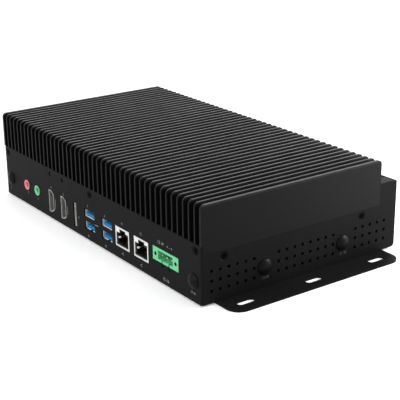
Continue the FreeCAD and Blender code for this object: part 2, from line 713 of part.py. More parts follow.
# Heat sink: an extrusion along Y whose base rests on the side walls.
def make_heat_sink():
    body = new_body("heat_sink")
    section = draw(body, "XZ_Plane")
    outline(section, [
        ("-half", "seam_top"), ("-inner", "seam_top"), ("-inner", "rail_low"),
        ("rail_thick - inner", "rail_low"), ("rail_thick - inner", "base_low"),
        ("inner - rail_thick", "base_low"), ("inner - rail_thick", "rail_low"),
        ("inner", "rail_low"), ("inner", "seam_top"), ("half", "seam_top"),
        ("half", "base_top"), ("-half", "base_top"),
    ])
    pad(body, section, "sink_depth", back=True)
    ends = draw(body, "XZ_Plane")
    rectangle(ends, "-half", "end_thick - half", "base_top", "fin_top")
    rectangle(ends, "half - end_thick", "half", "base_top", "fin_top")
    pad(body, ends, "sink_depth", back=True)
    fin = draw(body, "XZ_Plane")
    rectangle(fin, "first_fin - fin_thick / 2", "first_fin + fin_thick / 2", "base_top", "fin_top")
    first_fin = pad(body, fin, "sink_depth", back=True)
    row(body, [first_fin], "X_Axis", "fin_pitch", "fin_count - 2")
    trim_fin_corners(body)
    rebate = draw(body, "YZ_Plane")
    outline(rebate, [
        ("-1", "rail_low - 1"), ("fold_clear", "rail_low - 1"), ("fold_clear", "seam_top"),
        ("sink_front", "seam_top"), ("sink_front", "panel_top + slack"), ("-1", "panel_top + slack"),
    ])
    pocket(body, rebate, "across", both=True)
    drill_heat_sink(body)
    return body


def trim_fin_corners(body):
    """Takes the corners off the fins, front and back, to the radius of the real ones."""
    corners = draw(body, "YZ_Plane")
    low = "fin_top - fin_round"
    outline(corners, [
        ("-1", low), ("0", low, "fin_round", low), ("fin_round", "fin_top"),
        ("fin_round", "fin_top + 1"), ("-1", "fin_top + 1"),
    ])
    outline(corners, [
        ("sink_depth + 1", low), ("sink_depth", low, "sink_depth - fin_round", low),
        ("sink_depth - fin_round", "fin_top"), ("sink_depth - fin_round", "fin_top + 1"),
        ("sink_depth + 1", "fin_top + 1"),
    ])
    pocket(body, corners, "across", both=True)


def drill_heat_sink(body):
    front_holes = draw(body, "XZ_Plane")
    for x in ("-front_span", "0", "front_span"):
        circle(front_holes, x, "front_row", "thread_radius")
    pocket(body, front_holes, "head_sunk + screw_long + hole_spare")
    side_holes = draw(body, "YZ_Plane")
    for y in ("side_first", "side_first + side_span"):
        circle(side_holes, y, "side_row", "thread_radius")
    pocket(body, side_holes, "case_width", both=True)
    hollow(
        body, "lamp_middle - lamp_board_wide / 2 - lamp_board_room",
        "lamp_middle + lamp_board_wide / 2 + lamp_board_room",
        "0", "lamp_board_back", "base_low", "lamp_board_top + lamp_board_gap",
    )
    lamp_screw_hole = draw(body, "XZ_Plane")
    circle(lamp_screw_hole, "lamp_middle", "lamp_screw_row", "tiny_shank + bore_gap")
    pocket(body, lamp_screw_hole, "lamp_board_back + tiny_bite + hole_spare")
    block_holes = draw(body, "XY_Plane", "base_low")
    for x in ("chip_x - block_spot", "chip_x + block_spot"):
        for y in ("chip_y - block_spot", "chip_y + block_spot"):
            circle(block_holes, x, y, "thread_radius")
    pocket(body, block_holes, "block_bite + hole_spare", back=True)


# Port panel and side walls: one sheet folded at the two front edges.
def make_case_wrap():
    body = new_body("case_wrap")
    plan = draw(body, "XY_Plane")
    outline(plan, [
        ("-half", "0"), ("half", "0"), ("half", "case_depth"), ("half - sheet", "case_depth"),
        ("half - sheet", "sheet"), ("sheet - half", "sheet"), ("sheet - half", "case_depth"),
        ("-half", "case_depth"),
    ])
    pad(body, plan, "rear_top")
    rounded(body, "bend + sheet", upright(None, "0"))
    rounded(body, "bend", upright(None, "sheet"))
    low_sides = draw(body, "YZ_Plane")
    outline(low_sides, [
        ("sheet", "seam_top - slack"), ("rear_face", "seam_top - slack"),
        ("rear_face", "rear_top + 1"), ("-1", "rear_top + 1"), ("-1", "panel_top"),
        ("sheet", "panel_top"),
    ])
    pocket(body, low_sides, "across", both=True)
    rounded(body, "corner_low", lying_ends("0"))
    rounded(body, "corner_high", lying_ends("rear_top"))
    cut_port_windows(body)
    cut_screw_seats(body)
    cut_side_vents(body)
    return body


def lying_ends(height):
    """Picks the side walls' short rear edges at a height."""
    return lying("case_depth", height)


def cut_port_windows(body):
    windows = draw(body, "XZ_Plane")
    for x in ("pink_x", "green_x"):
        circle(windows, x, "jack_row", "jack_radius + window_gap")
    for x in ("lamp_middle - lamp_pitch / 2", "lamp_middle + lamp_pitch / 2"):
        circle(windows, x, "front_row", "lamp_radius + lamp_gap")
    for x in ("-front_plug_x", "front_plug_x"):
        circle(windows, x, "plug_row", "plug_hole")
    for x in ("video_left_x", "video_right_x"):
        outline(windows, wide_port(x, "window_gap"))
    outline(windows, slim_port("slim_x", "window_gap"))
    for x in ("usb_left_x", "usb_right_x"):
        for z in ("usb_low_row", "usb_high_row"):
            centred(windows, x, z, "usb_wide + 2 * window_gap", "usb_tall + 2 * window_gap")
    for x in ("lan_left_x", "lan_right_x"):
        rectangle(
            windows, f"{x} - lan_wide / 2 - window_gap", f"{x} + lan_wide / 2 + window_gap",
            "lan_low - window_gap", "lan_top + window_gap",
        )
    outline(windows, power_window())
    pocket(body, windows, "sheet + 1")


def wide_port(x, grow):
    """The wide video port's outline, stood on end, with its narrow side to the right."""
    low = f"video_low - {grow}"
    high = f"video_low + video_tall + {grow}"
    left = f"{x} - video_wide / 2 - {grow}"
    right = f"{x} + video_wide / 2 + {grow}"
    step = f"{x} - video_wide / 2 + video_step"
    return [
        (left, low), (step, low), (right, f"{low} + video_slope"),
        (right, f"{high} - video_slope"), (step, high), (left, high),
    ]


def slim_port(x, grow):
    """The slim video port's outline, stood on end, with one corner cut."""
    low = f"slim_low - {grow}"
    high = f"slim_low + slim_tall + {grow}"
    left = f"{x} - slim_wide / 2 - {grow}"
    right = f"{x} + slim_wide / 2 + {grow}"
    return [
        (left, low), (f"{right} - slim_cut", low), (right, f"{low} + slim_cut"),
        (right, high), (left, high),
    ]


def power_window():
    """The power header's opening, with two notches that reach below it."""
    low = "power_low - window_gap"
    left_end = "power_x - power_wide / 2 - window_gap"
    right_end = "power_x + power_wide / 2 + window_gap"
    corners = [(left_end, low)]
    for notch in ("power_x - notch_side", "power_x + notch_side"):
        left = f"{notch} - notch_wide / 2"
        right = f"{notch} + notch_wide / 2"
        corners += [(left, low), (left, "notch_low"), (right, "notch_low"), (right, low)]
    high = "power_top + window_gap"
    return corners + [(right_end, low), (right_end, high), (left_end, high)]


def cut_screw_seats(body):
    """Cones for the countersunk screws: three in the panel and two in each side wall."""
    narrow = "cone_radius - sheet"
    seat = draw(body, "YZ_Plane", "-front_span")
    outline(seat, [
        ("0", "front_row"), ("0", "front_row + cone_radius"), ("sheet", f"front_row + {narrow}"),
        ("sheet", "front_row"),
    ])
    front_seat = turned(body, seat, axis_line(seat, "0", "front_row", "sheet", "front_row"), cuts=True)
    row(body, [front_seat], "X_Axis", "front_span", "3", cuts=True)
    for face, inside in (("half", "half - sheet"), ("-half", "sheet - half")):
        seat = draw(body, "XY_Plane", "side_row")
        outline(seat, [
            (face, "side_first"), (face, "side_first + cone_radius"),
            (inside, f"side_first + {narrow}"), (inside, "side_first"),
        ])
        axis = axis_line(seat, face, "side_first", inside, "side_first")
        side_seat = turned(body, seat, axis, cuts=True)
        row(body, [side_seat], "Y_Axis", "side_span", "2", cuts=True)


def cut_side_vents(body):
    """Three fields of vent holes and the plug holes, through both side walls at once."""
    plug_holes = draw(body, "YZ_Plane")
    for y in ("side_plug_first", "side_plug_first + side_plug_span"):
        circle(plug_holes, y, "plug_row", "plug_hole")
    pocket(body, plug_holes, "across", both=True)
    first = "0"
    for count in ("vent_field_one", "vent_field_two", "vent_field_three"):
        column = draw(body, "YZ_Plane")
        for level in range(3):
            circle(
                column, f"vent_first + ({first}) * side_pitch",
                f"vent_low + {level} * vent_rise", "vent_radius",
            )
        holes = pocket(body, column, "across", both=True)
        row(body, [holes], "Y_Axis", "side_pitch", count, cuts=True)
        first = f"{first} + {count} + vent_skip"


# Floor, back and the raised box's top: one sheet folded across its width.
def make_case_floor():
    body = new_body("case_floor")
    side = draw(body, "YZ_Plane")
    low_fold = "base_top - rear_fold"
    outline(side, [
        ("sink_front", "0"), ("case_depth", "0"), ("case_depth", "rear_top"),
        ("rear_face", "rear_top"), ("rear_face", low_fold), ("rear_face + sheet", low_fold),
        ("rear_face + sheet", "rear_top - sheet"), ("case_depth - sheet", "rear_top - sheet"),
        ("case_depth - sheet", "sheet"), ("sink_front + sheet", "sheet"),
        ("sink_front + sheet", "floor_fold"), ("sink_front", "floor_fold"),
    ])
    pad(body, side, "2 * inner", both=True)
    for left, right in (("-half", "bend - inner"), ("inner - bend", "half")):
        hollow(body, left, right, "0", "fold_clear", "-1", "floor_fold + 1")
    rounded(body, "bend + sheet", lying("sink_front", "0"))
    rounded(body, "bend", lying("sink_front + sheet", "sheet"))
    rounded(body, "corner_low", lying("case_depth", "0"))
    rounded(body, "corner_low - sheet", lying("case_depth - sheet", "sheet"))
    rounded(body, "corner_high", lying("case_depth", "rear_top"))
    rounded(body, "bend", lying("case_depth - sheet", "rear_top - sheet"))
    rounded(body, "bend + sheet", lying("rear_face", "rear_top"))
    rounded(body, "bend", lying("rear_face + sheet", "rear_top - sheet"))
    for left, right in (("-inner", "sheet - inner"), ("inner - sheet", "inner")):
        block(
            body, left, right, "sink_front + sheet + bend + slack",
            "case_depth - sheet - corner_low", "sheet / 2", "floor_side",
        )
    bores = draw(body, "XY_Plane")
    for x in ("plate_screw_x", "-plate_screw_x"):
        for y in SLOT_PLACES:
            circle(bores, x, y, "bore")
    pocket(body, bores, "sheet", back=True)
    cut_top_vents(body)
    return body


def cut_top_vents(body):
    """Two staggered rows of vent holes along the raised box's top."""
    rear_row = "case_depth - top_vent_back"
    for shift, y in (("0.5", rear_row), ("0", f"{rear_row} - top_vent_rows")):
        hole = draw(body, "XY_Plane", "rear_top")
        circle(hole, f"top_vent_in - half + {shift} * top_pitch", y, "vent_radius")
        cut = pocket(body, hole, "1.5 * sheet")
        row(body, [cut], "X_Axis", "top_pitch", "top_vent_count", cuts=True)


# Mounting plates: flat, under the case's ends, with three slots each.
def make_mount_plate(label, side):
    body = new_body(label, z="-plate_thick")
    plan = draw(body, "XY_Plane")
    inside = f"{side} * (half - plate_under)"
    outside = f"{side} * (half + plate_reach)"
    rectangle(plan, inside, outside, "plate_front", "plate_front + plate_long")
    pad(body, plan, "plate_thick")
    rounded(body, "plate_round", upright(outside, None))
    rounded(body, "slot_radius", upright(inside, None))
    slots = draw(body, "XY_Plane")
    for y in SLOT_PLACES:
        slot(slots, f"{side} * (half + slot_out)", y, "slot_long - 2 * slot_radius", "slot_radius")
    pocket(body, slots, "plate_thick", back=True)
    seat = draw(body, "XZ_Plane", "slot_pitch - plate_middle")
    x = f"{side} * plate_screw_x"
    narrow = "cone_radius - plate_cone"
    outline(seat, [
        (x, "0"), (f"{x} + cone_radius", "0"), (f"{x} + {narrow}", "plate_cone"),
        (f"{x} + {narrow}", "plate_thick"), (x, "plate_thick"),
    ])
    cone = turned(body, seat, axis_line(seat, x, "0", x, "plate_thick"), cuts=True)
    row(body, [cone], "Y_Axis", "slot_pitch", "3", cuts=True)
    return body


# Fasteners: each is turned about its own axis and repeated.
def countersunk(body, top, radius, head_deep, length):
    """A countersunk screw along the body's Z axis, with a cross recess in its head."""
    section = draw(body, "XZ_Plane")
    outline(section, [
        ("0", top), (radius, top), (f"{radius} - {head_deep}", f"{top} - {head_deep}"),
        ("shank_radius", f"{top} - {head_deep}"), ("shank_radius", f"{top} - {length}"),
        ("0", f"{top} - {length}"),
    ])
    turned(body, section)
    cross_recess(body, top)


def cross_recess(body, top):
    sketch = draw(body, "XY_Plane", top)
    wide = "cross_wide"
    far = "cross_reach"
    outline(sketch, [
        (f"-{wide}", f"-{far}"), (wide, f"-{far}"), (wide, f"-{wide}"), (far, f"-{wide}"),
        (far, wide), (wide, wide), (wide, far), (f"-{wide}", far), (f"-{wide}", wide),
        (f"-{far}", wide), (f"-{far}", f"-{wide}"), (f"-{wide}", f"-{wide}"),
    ])
    return pocket(body, sketch, "cross_deep")


def make_front_screws():
    body = new_body("front_screws", x="-front_span", y="head_sunk", z="front_row", turn=TO_FRONT)
    countersunk(body, "0", "head_radius", "head_deep", "screw_long")
    row(body, [], "X_Axis", "front_span", "3")
    return body


def make_side_screws():
    body = new_body("side_screws", y="side_first", z="side_row", turn=TO_SIDE)
    countersunk(body, "half - head_sunk", "head_radius", "head_deep", "screw_long")
    row(body, [], "Y_Axis", "side_span", "2")
    mirrored(body, "XY_Plane")
    return body


def make_plate_screws():
    body = new_body(
        "plate_screws", x="-plate_screw_x", y="plate_middle + slot_pitch",
        z="plate_head_sunk - plate_thick", turn=UPSIDE_DOWN,
    )
    countersunk(
        body, "0", "(cone_radius - plate_head_sunk)", "(plate_cone - plate_head_sunk)",
        "plate_screw_long",
    )
    row(body, [], "X_Axis", "2 * plate_screw_x", "2")
    row(body, [], "Y_Axis", "slot_pitch", "3")
    return body


def make_plate_nuts():
    body = new_body("plate_nuts")
    plan = draw(body, "XY_Plane", "sheet")
    for x in ("-plate_screw_x", "plate_screw_x"):
        for y in SLOT_PLACES:
            circle(plan, x, y, "nut_radius")
            circle(plan, x, y, "thread_radius")
    pad(body, plan, "nut_high")
    return body


def plug_section(sketch, face):
    """Half the section of a domed plug that snaps into a round hole."""
    rim = f"{face} - sheet - plug_snap"
    dome = "(plug_rise * plug_rise + plug_radius * plug_radius) / (2 * plug_rise)"
    top = f"{face} + plug_edge + plug_rise"
    outline(sketch, [
        ("0", f"{face} - plug_long"), ("plug_stem - plug_taper", f"{face} - plug_long"),
        ("plug_lip", f"{rim} - plug_taper"), ("plug_lip", rim), ("plug_stem", rim),
        ("plug_stem", face), ("plug_radius", face),
        ("plug_radius", f"{face} + plug_edge", "0", f"{top} - {dome}"), ("0", top),
    ])


def make_front_plugs():
    body = new_body("front_plugs", x="-front_plug_x", z="plug_row", turn=TO_FRONT)
    section = draw(body, "XZ_Plane")
    plug_section(section, "0")
    turned(body, section)
    row(body, [], "X_Axis", "2 * front_plug_x", "2")
    return body


def make_side_plugs():
    body = new_body("side_plugs", y="side_plug_first", z="plug_row", turn=TO_SIDE)
    section = draw(body, "XZ_Plane")
    plug_section(section, "half")
    turned(body, section)
    row(body, [], "Y_Axis", "side_plug_span", "2")
    mirrored(body, "XY_Plane")
    return body


# Main board with its posts and screws.
def board_spots():
    for x in ("-spot_x", "spot_x"):
        for step in range(3):
            yield x, f"spot_front + {step} * spot_pitch"


def make_main_board():
    body = new_body("main_board")
    plan = draw(body, "XY_Plane", "board_low")
    rectangle(plan, "-board_half", "board_half", "board_front", "board_back")
    for x, y in board_spots():
        circle(plan, x, y, "board_hole")
    pad(body, plan, "board_thick")
    return body


def make_board_posts():
    body = new_body("board_posts")
    plan = draw(body, "XY_Plane", "sheet")
    for x, y in board_spots():
        circle(plan, x, y, "post_radius")
        circle(plan, x, y, "thread_radius")
    pad(body, plan, "board_low - sheet")
    return body


def make_pan_screw(label, x, y, seat, length, turn=None):
    """A pan-head screw that stands on its seat, as a body that may be repeated."""
    body = new_body(label, x, y, seat, turn)
    section = draw(body, "XZ_Plane")
    outline(section, [
        ("0", f"-({length})"), ("shank_radius", f"-({length})"), ("shank_radius", "0"),
        ("pan_radius", "0"), ("pan_radius", "pan_high - pan_crown"),
        ("pan_radius - pan_crown", "pan_high"), ("0", "pan_high"),
    ])
    turned(body, section)
    cross_recess(body, "pan_high")
    return body


def make_board_screws():
    body = make_pan_screw(
        "board_screws", "-spot_x", "spot_front", "board_top", "board_thick + board_bite",
    )
    row(body, [], "X_Axis", "2 * spot_x", "2")
    row(body, [], "Y_Axis", "spot_pitch", "3")
    return body


# Processor and the block that carries its heat up to the fins.
def make_processor():
    body = new_body("processor")
    carrier_top = "board_top + chip_thick"
    around(body, "chip_x", "chip_y", "chip_wide", "chip_wide", "board_top", carrier_top)
    around(body, "chip_x", "chip_y", "die_wide", "die_wide", carrier_top, "pad_low")
    return body


def make_thermal_pad():
    body = new_body("thermal_pad")
    around(body, "chip_x", "chip_y", "pad_wide", "pad_wide", "pad_low", "pad_top")
    return body


def make_thermal_block():
    body = new_body("thermal_block")
    around(body, "chip_x", "chip_y", "block_foot", "block_foot", "pad_top", "foot_top")
    around(body, "chip_x", "chip_y", "block_wide", "block_wide", "foot_top", "base_low")
    holes = draw(body, "XY_Plane", "foot_top")
    for x in ("chip_x - block_spot", "chip_x + block_spot"):
        for y in ("chip_y - block_spot", "chip_y + block_spot"):
            circle(holes, x, y, "board_hole")
    pocket(body, holes, "base_low - foot_top", back=True)
    return body


def make_block_screws():
    body = make_pan_screw(
        "block_screws", "chip_x - block_spot", "chip_y + block_spot", "foot_top",
        "base_low - foot_top + block_bite", turn=UPSIDE_DOWN,
    )
    row(body, [], "X_Axis", "2 * block_spot", "2")
    row(body, [], "Y_Axis", "2 * block_spot", "2")
    return body


# Memory and drive: a module in a socket, held flat over the board.
def make_socket(label, x, y, wide, lift):
    """A socket whose slot takes the edge of a module."""
    body = new_body(label)
    block(
        body, f"{x} - {wide} / 2 - socket_end", f"{x} + {wide} / 2 + socket_end",
        y, f"{y} + socket_deep", "board_top", "board_top + socket_high",
    )
    hollow(
        body, f"{x} - {wide} / 2 - slack", f"{x} + {wide} / 2 + slack",
        f"{y} + socket_deep / 2", f"{y} + socket_deep + 1",
        f"board_top + {lift} - slack", f"board_top + {lift} + module_thick + slack",
    )
    return body


def make_memory_socket():
    body = make_socket("memory_socket", "memory_x", "memory_y", "memory_wide", "memory_lift")
    end = "memory_start + memory_deep"
    for side in ("-1", "1"):
        arm = f"memory_x + {side} * (memory_wide / 2 + arm_gap + arm_thick / 2)"
        block(
            body, f"{arm} - arm_thick / 2", f"{arm} + arm_thick / 2",
            "memory_y + socket_deep - arm_gap", end, "board_top", "memory_top + arm_over",
        )
        rest = f"memory_x + {side} * memory_wide / 2"
        block(
            body, f"{rest} - rest_in", f"{rest} + rest_in", f"{end} - rest_long", end,
            "board_top", "memory_low",
        )
    return body


def make_memory_module():
    body = new_body("memory_module")
    left = "memory_x - memory_wide / 2"
    block(
        body, left, "memory_x + memory_wide / 2", "memory_start", "memory_start + memory_deep",
        "memory_low", "memory_top",
    )
    chip = block(
        body, f"{left} + memory_edge", f"{left} + memory_edge + memory_chip_wide",
        "memory_start + memory_chip_in", "memory_start + memory_chip_in + memory_chip_deep",
        "memory_top", "memory_top + chip_high",
    )
    row(body, [chip], "X_Axis", "memory_pitch", "memory_chips")
    return body


def make_drive_module():
    body = new_body("drive_module")
    plan = draw(body, "XY_Plane", "drive_low")
    left = "drive_x - drive_wide / 2"
    right = "drive_x + drive_wide / 2"
    outline(plan, [
        (left, "drive_start"), (right, "drive_start"), (right, "drive_end"),
        ("drive_x + drive_notch", "drive_end", "drive_x", "drive_end"),
        ("drive_x", "drive_end - drive_notch", "drive_x", "drive_end"),
        ("drive_x - drive_notch", "drive_end"), (left, "drive_end"),
    ])
    pad(body, plan, "module_thick")
    first = "drive_start + drive_chip_first"
    chip = block(
        body, "drive_x - drive_chip_wide / 2", "drive_x + drive_chip_wide / 2", first,
        f"{first} + drive_chip_long", "drive_top", "drive_top + chip_high",
    )
    row(body, [chip], "Y_Axis", "drive_chip_pitch", "drive_chips")
    return body


def make_drive_post():
    body = new_body("drive_post")
    plan = draw(body, "XY_Plane", "board_top")
    circle(plan, "drive_x", "drive_end", "post_radius")
    circle(plan, "drive_x", "drive_end", "thread_radius")
    pad(body, plan, "drive_lift")
    return body


# Clock cell in its holder.
def make_cell_holder():
    body = new_body("cell_holder")
    ring = draw(body, "XY_Plane", "board_top")
    circle(ring, "cell_x", "cell_y", "cell_radius + holder_wall")
    pad(body, ring, "holder_floor + cell_thick + cap_thick - slack")
    seat = draw(body, "XY_Plane", "cell_low")
    circle(seat, "cell_x", "cell_y", "cell_radius + slack")
    pocket(body, seat, "cell_thick + cap_thick", back=True)
    return body


def make_coin_cell():
    body = new_body("coin_cell")
    can = draw(body, "XY_Plane", "cell_low")
    circle(can, "cell_x", "cell_y", "cell_radius")
    pad(body, can, "cell_thick")
    cap = draw(body, "XY_Plane", "cell_top")
    circle(cap, "cell_x", "cell_y", "cell_radius - cap_step")
    pad(body, cap, "cap_thick")
    return body


# Small parts of the board that repeat in rows.
def make_power_coils():
    body = new_body("power_coils")
    top = "board_top + coil_high"
    around(body, "coil_x", "coil_first", "coil_side", "coil_side", "board_top", top)
    row(body, [], "Y_Axis", "coil_pitch", "4")
    return body


def make_capacitors():
    body = new_body("capacitors")
    plan = draw(body, "XY_Plane", "board_top")
    circle(plan, "can_x", "can_first", "can_radius")
    pad(body, plan, "can_high")
    row(body, [], "Y_Axis", "can_pitch", "4")
    return body


def make_interface_chips():
    body = new_body("interface_chips")
    top = "board_top + logic_high"
    around(body, "logic_first", "logic_y", "logic_side", "logic_side", "board_top", top)
    row(body, [], "X_Axis", "logic_pitch", "3")
    return body


# Audio jacks: a block behind the panel with a round collar through it.
def make_audio_jack(label, x):
    body = new_body(label, x=x)
    block(
        body, "-jack_body / 2", "jack_body / 2", "sink_front", "jack_deep",
        "board_top", "jack_row + jack_body / 2",
    )
    collar = draw(body, "XZ_Plane", "jack_proud")
    circle(collar, "0", "jack_row", "jack_radius")
    pad(body, collar, "jack_proud + sink_front + root", back=True)
    bore = draw(body, "YZ_Plane")
    front = "-jack_proud"
    end = "jack_deep - jack_back"
    outline(bore, [
        (front, "jack_row"), (front, "jack_row + jack_flare"),
        (f"{front} + jack_flare_deep", "jack_row + jack_bore"),
        (end, "jack_row + jack_bore"), (end, "jack_row"),
    ])
    turned(body, bore, axis_line(bore, front, "jack_row", end, "jack_row"), cuts=True)
    return body


# Video ports: a metal shell that stands on the board and a blade with the contacts.
def make_video_shell(label, x, shape, inset, wide, top, rim):
    body = new_body(label, x=x)
    mouth = draw(body, "XZ_Plane", f"-({inset})")
    outline(mouth, shape("0", "0"))
    pad(body, mouth, f"sink_front + root - ({inset})", back=True)
    block(body, f"-{wide} / 2", f"{wide} / 2", "sink_front", "video_deep", "board_top", top)
    throat = draw(body, "XZ_Plane")
    outline(throat, shape("0", f"(0 - {rim})"))
    pocket(body, throat, "video_deep - port_wall")
    return body


def make_video_blade(label, x, low, tall):
    """A flat blade that stands on end in the port, on a block that closes its back."""
    body = new_body(label, x=x)
    back = "video_deep - port_wall"
    side = "blade_thick / 2"
    start = f"{low} + blade_end"
    end = f"{low} + {tall} - blade_end"
    block(body, f"-{side}", side, "blade_in", f"{back} - blade_foot / 2", start, end)
    block(
        body, f"-{side} - blade_side", f"{side} + blade_side", f"{back} - blade_foot", back,
        f"{start} - blade_side", f"{end} + blade_side",
    )
    return body


# Stacked ports: one box with two mouths, and an insert with two tongues.
def make_usb_shell(label, x):
    body = new_body(label, x=x)
    side = "usb_wide / 2 + usb_cheek"
    block(body, f"-({side})", side, "sink_front", "usb_deep", "board_top", "usb_box_top")
    collars = draw(body, "XZ_Plane", "-port_inset")
    throats = draw(body, "XZ_Plane")
    for z in ("usb_low_row", "usb_high_row"):
        centred(collars, "0", z, "usb_wide", "usb_tall")
        centred(throats, "0", z, "usb_wide - 2 * port_wall", "usb_tall - 2 * port_wall")
    pad(body, collars, "sink_front + root - port_inset", back=True)
    pocket(body, throats, "usb_deep - port_wall")
    floor = "usb_low_row - usb_tall / 2 + port_wall"
    slots = draw(body, "XY_Plane", floor)
    for x in ("-spring_side", "spring_side"):
        rectangle(
            slots, f"{x} - spring_wide / 2", f"{x} + spring_wide / 2",
            "spring_in", "spring_in + spring_long",
        )
    pocket(body, slots, "spring_deep")
    return body


def make_usb_tongues(label, x):
    """Two tongues, each on a block at the back of its mouth."""
    body = new_body(label, x=x)
    back = "usb_deep - port_wall"
    inside = "usb_wide / 2 - port_wall"
    side = "usb_wide / 2 - tongue_side"
    for z in ("usb_low_row", "usb_high_row"):
        top = f"{z} + usb_tall / 2 - port_wall"
        block(
            body, f"-({side})", side, "tongue_in", f"{back} - tongue_root / 2",
            f"{top} - tongue_drop - tongue_thick", f"{top} - tongue_drop",
        )
        block(
            body, f"-({inside})", inside, f"{back} - tongue_root", back,
            f"{z} - usb_tall / 2 + port_wall", top,
        )
    return body


# Network jacks: a metal shell, a housing with the plug cavity, and two light pipes.
PIPES = (
    ("-lan_inside", "pipe_wide - lan_inside", "pipe_high_left"),
    ("lan_inside - pipe_wide", "lan_inside", "pipe_high_right"),
)


def make_lan_shell(label, x):
    body = new_body(label, x=x)
    block(
        body, "-lan_wide / 2", "lan_wide / 2", "-lan_proud", "lan_deep", "lan_low", "lan_top",
    )
    block(
        body, "-lan_wide / 2", "lan_wide / 2", "sink_front", "lan_deep",
        "board_top", "lan_low + root",
    )
    mouth = draw(body, "XZ_Plane", "lan_proud")
    rectangle(mouth, "-lan_inside", "lan_inside", "lan_low + lan_rim", "pipe_top")
    pocket(body, mouth, "lan_proud + lan_deep - port_wall")
    return body


def make_lan_housing(label, x):
    body = new_body(label, x=x)
    front = "lan_sunk - lan_proud"
    block(
        body, "-lan_inside", "lan_inside", front, "lan_deep - port_wall",
        "lan_low + lan_rim", "pipe_top",
    )
    mouth = draw(body, "XZ_Plane", f"-({front})")
    outline(mouth, [
        ("-lan_mouth / 2", "mouth_low"), ("lan_mouth / 2", "mouth_low"),
        ("lan_mouth / 2", "mouth_top"), ("latch_wide / 2", "mouth_top"),
        ("latch_wide / 2", "latch_top"), ("-latch_wide / 2", "latch_top"),
        ("-latch_wide / 2", "mouth_top"), ("-lan_mouth / 2", "mouth_top"),
    ])
    pocket(body, mouth, "lan_cave")
    for left, right, high in PIPES:
        hollow(body, left, right, "-lan_proud", "pipe_deep", f"pipe_top - {high}", "pipe_top")
    return body


def make_lan_pipes(label, x):
    body = new_body(label, x=x)
    for left, right, high in PIPES:
        block(body, left, right, "pipe_sunk - lan_proud", "pipe_deep", f"pipe_top - {high}", "pipe_top")
    return body


# Power header: a flanged block on a stand, with three pins.
def make_power_header():
    body = new_body("power_header", x="power_x")
    side = "power_wide / 2"
    block(body, f"-{side}", side, "-power_proud", "power_deep", "power_low", "power_top")
    block(body, f"-{side}", side, "sink_front", "power_deep", "board_top", "power_low + root")
    mouth = draw(body, "XZ_Plane", "power_proud")
    centred(mouth, "0", "power_row", "power_mouth", "power_high - 2 * power_lip")
    for x in ("-ear_x", "ear_x"):
        circle(mouth, x, "power_row", "ear_radius")
    pocket(body, mouth, "power_cave")
    for x in ("-notch_side", "notch_side"):
        hollow(
            body, f"{x} - notch_wide / 2", f"{x} + notch_wide / 2", "-power_proud - 1",
            "notch_back", "notch_low", "power_low + power_lip",
        )
    bores = draw(body, "XZ_Plane", "power_proud")
    pin_row(bores)
    pocket(body, bores, "power_deep + power_proud - pin_back")
    return body


def pin_row(sketch):
    for x in ("-pin_pitch", "0", "pin_pitch"):
        centred(sketch, x, "power_row", "pin_side", "pin_side")


def make_power_pins():
    body = new_body("power_pins", x="power_x")
    section = draw(body, "XZ_Plane", "power_proud - pin_in")
    pin_row(section)
    pad(body, section, "power_deep + power_proud - pin_in - pin_back", back=True)
    return body


# Status lamps on their own small board under the heat sink's front edge.
def make_lamp_board():
    body = new_body("lamp_board", x="lamp_middle")
    block(
        body, "-lamp_board_wide / 2", "lamp_board_wide / 2", "lamp_seat", "lamp_board_back",
        "lamp_board_top - lamp_board_high", "lamp_board_top",
    )
    hole = draw(body, "XZ_Plane", "-lamp_seat")
    circle(hole, "0", "lamp_screw_row", "tiny_shank + 2 * bore_gap")
    pocket(body, hole, "lamp_board_thick")
    return body


def make_status_lamps():
    body = new_body("status_lamps", x="lamp_middle - lamp_pitch / 2", z="front_row", turn=TO_FRONT)
    section = draw(body, "XZ_Plane")
    foot = "lamp_radius + lamp_flange"
    outline(section, [
        ("0", "-lamp_seat"), (foot, "-lamp_seat"), (foot, "lamp_foot - lamp_seat"),
        ("lamp_radius", "lamp_foot - lamp_seat"),
        ("lamp_radius", "-lamp_inset - lamp_radius", "0", "-lamp_inset - lamp_radius"),
        ("0", "-lamp_inset"),
    ])
    turned(body, section)
    row(body, [], "X_Axis", "lamp_pitch", "2")
    return body


def make_lamp_screw():
    body = new_body("lamp_screw", x="lamp_middle", y="lamp_seat", z="lamp_screw_row", turn=TO_FRONT)
    section = draw(body, "XZ_Plane")
    tip = "-lamp_board_thick - tiny_bite"
    outline(section, [
        ("0", tip), ("tiny_shank", tip), ("tiny_shank", "0"), ("tiny_head", "0"),
        ("tiny_head", "tiny_head_high - tiny_crown"),
        ("tiny_head - tiny_crown", "tiny_head_high"), ("0", "tiny_head_high"),
    ])
    turned(body, section)
    return body


def make_wide_video(label, x):
    return make_video_shell(
        label, x, wide_port, "0", "video_wide", "video_low + video_tall", "video_rim",
    )


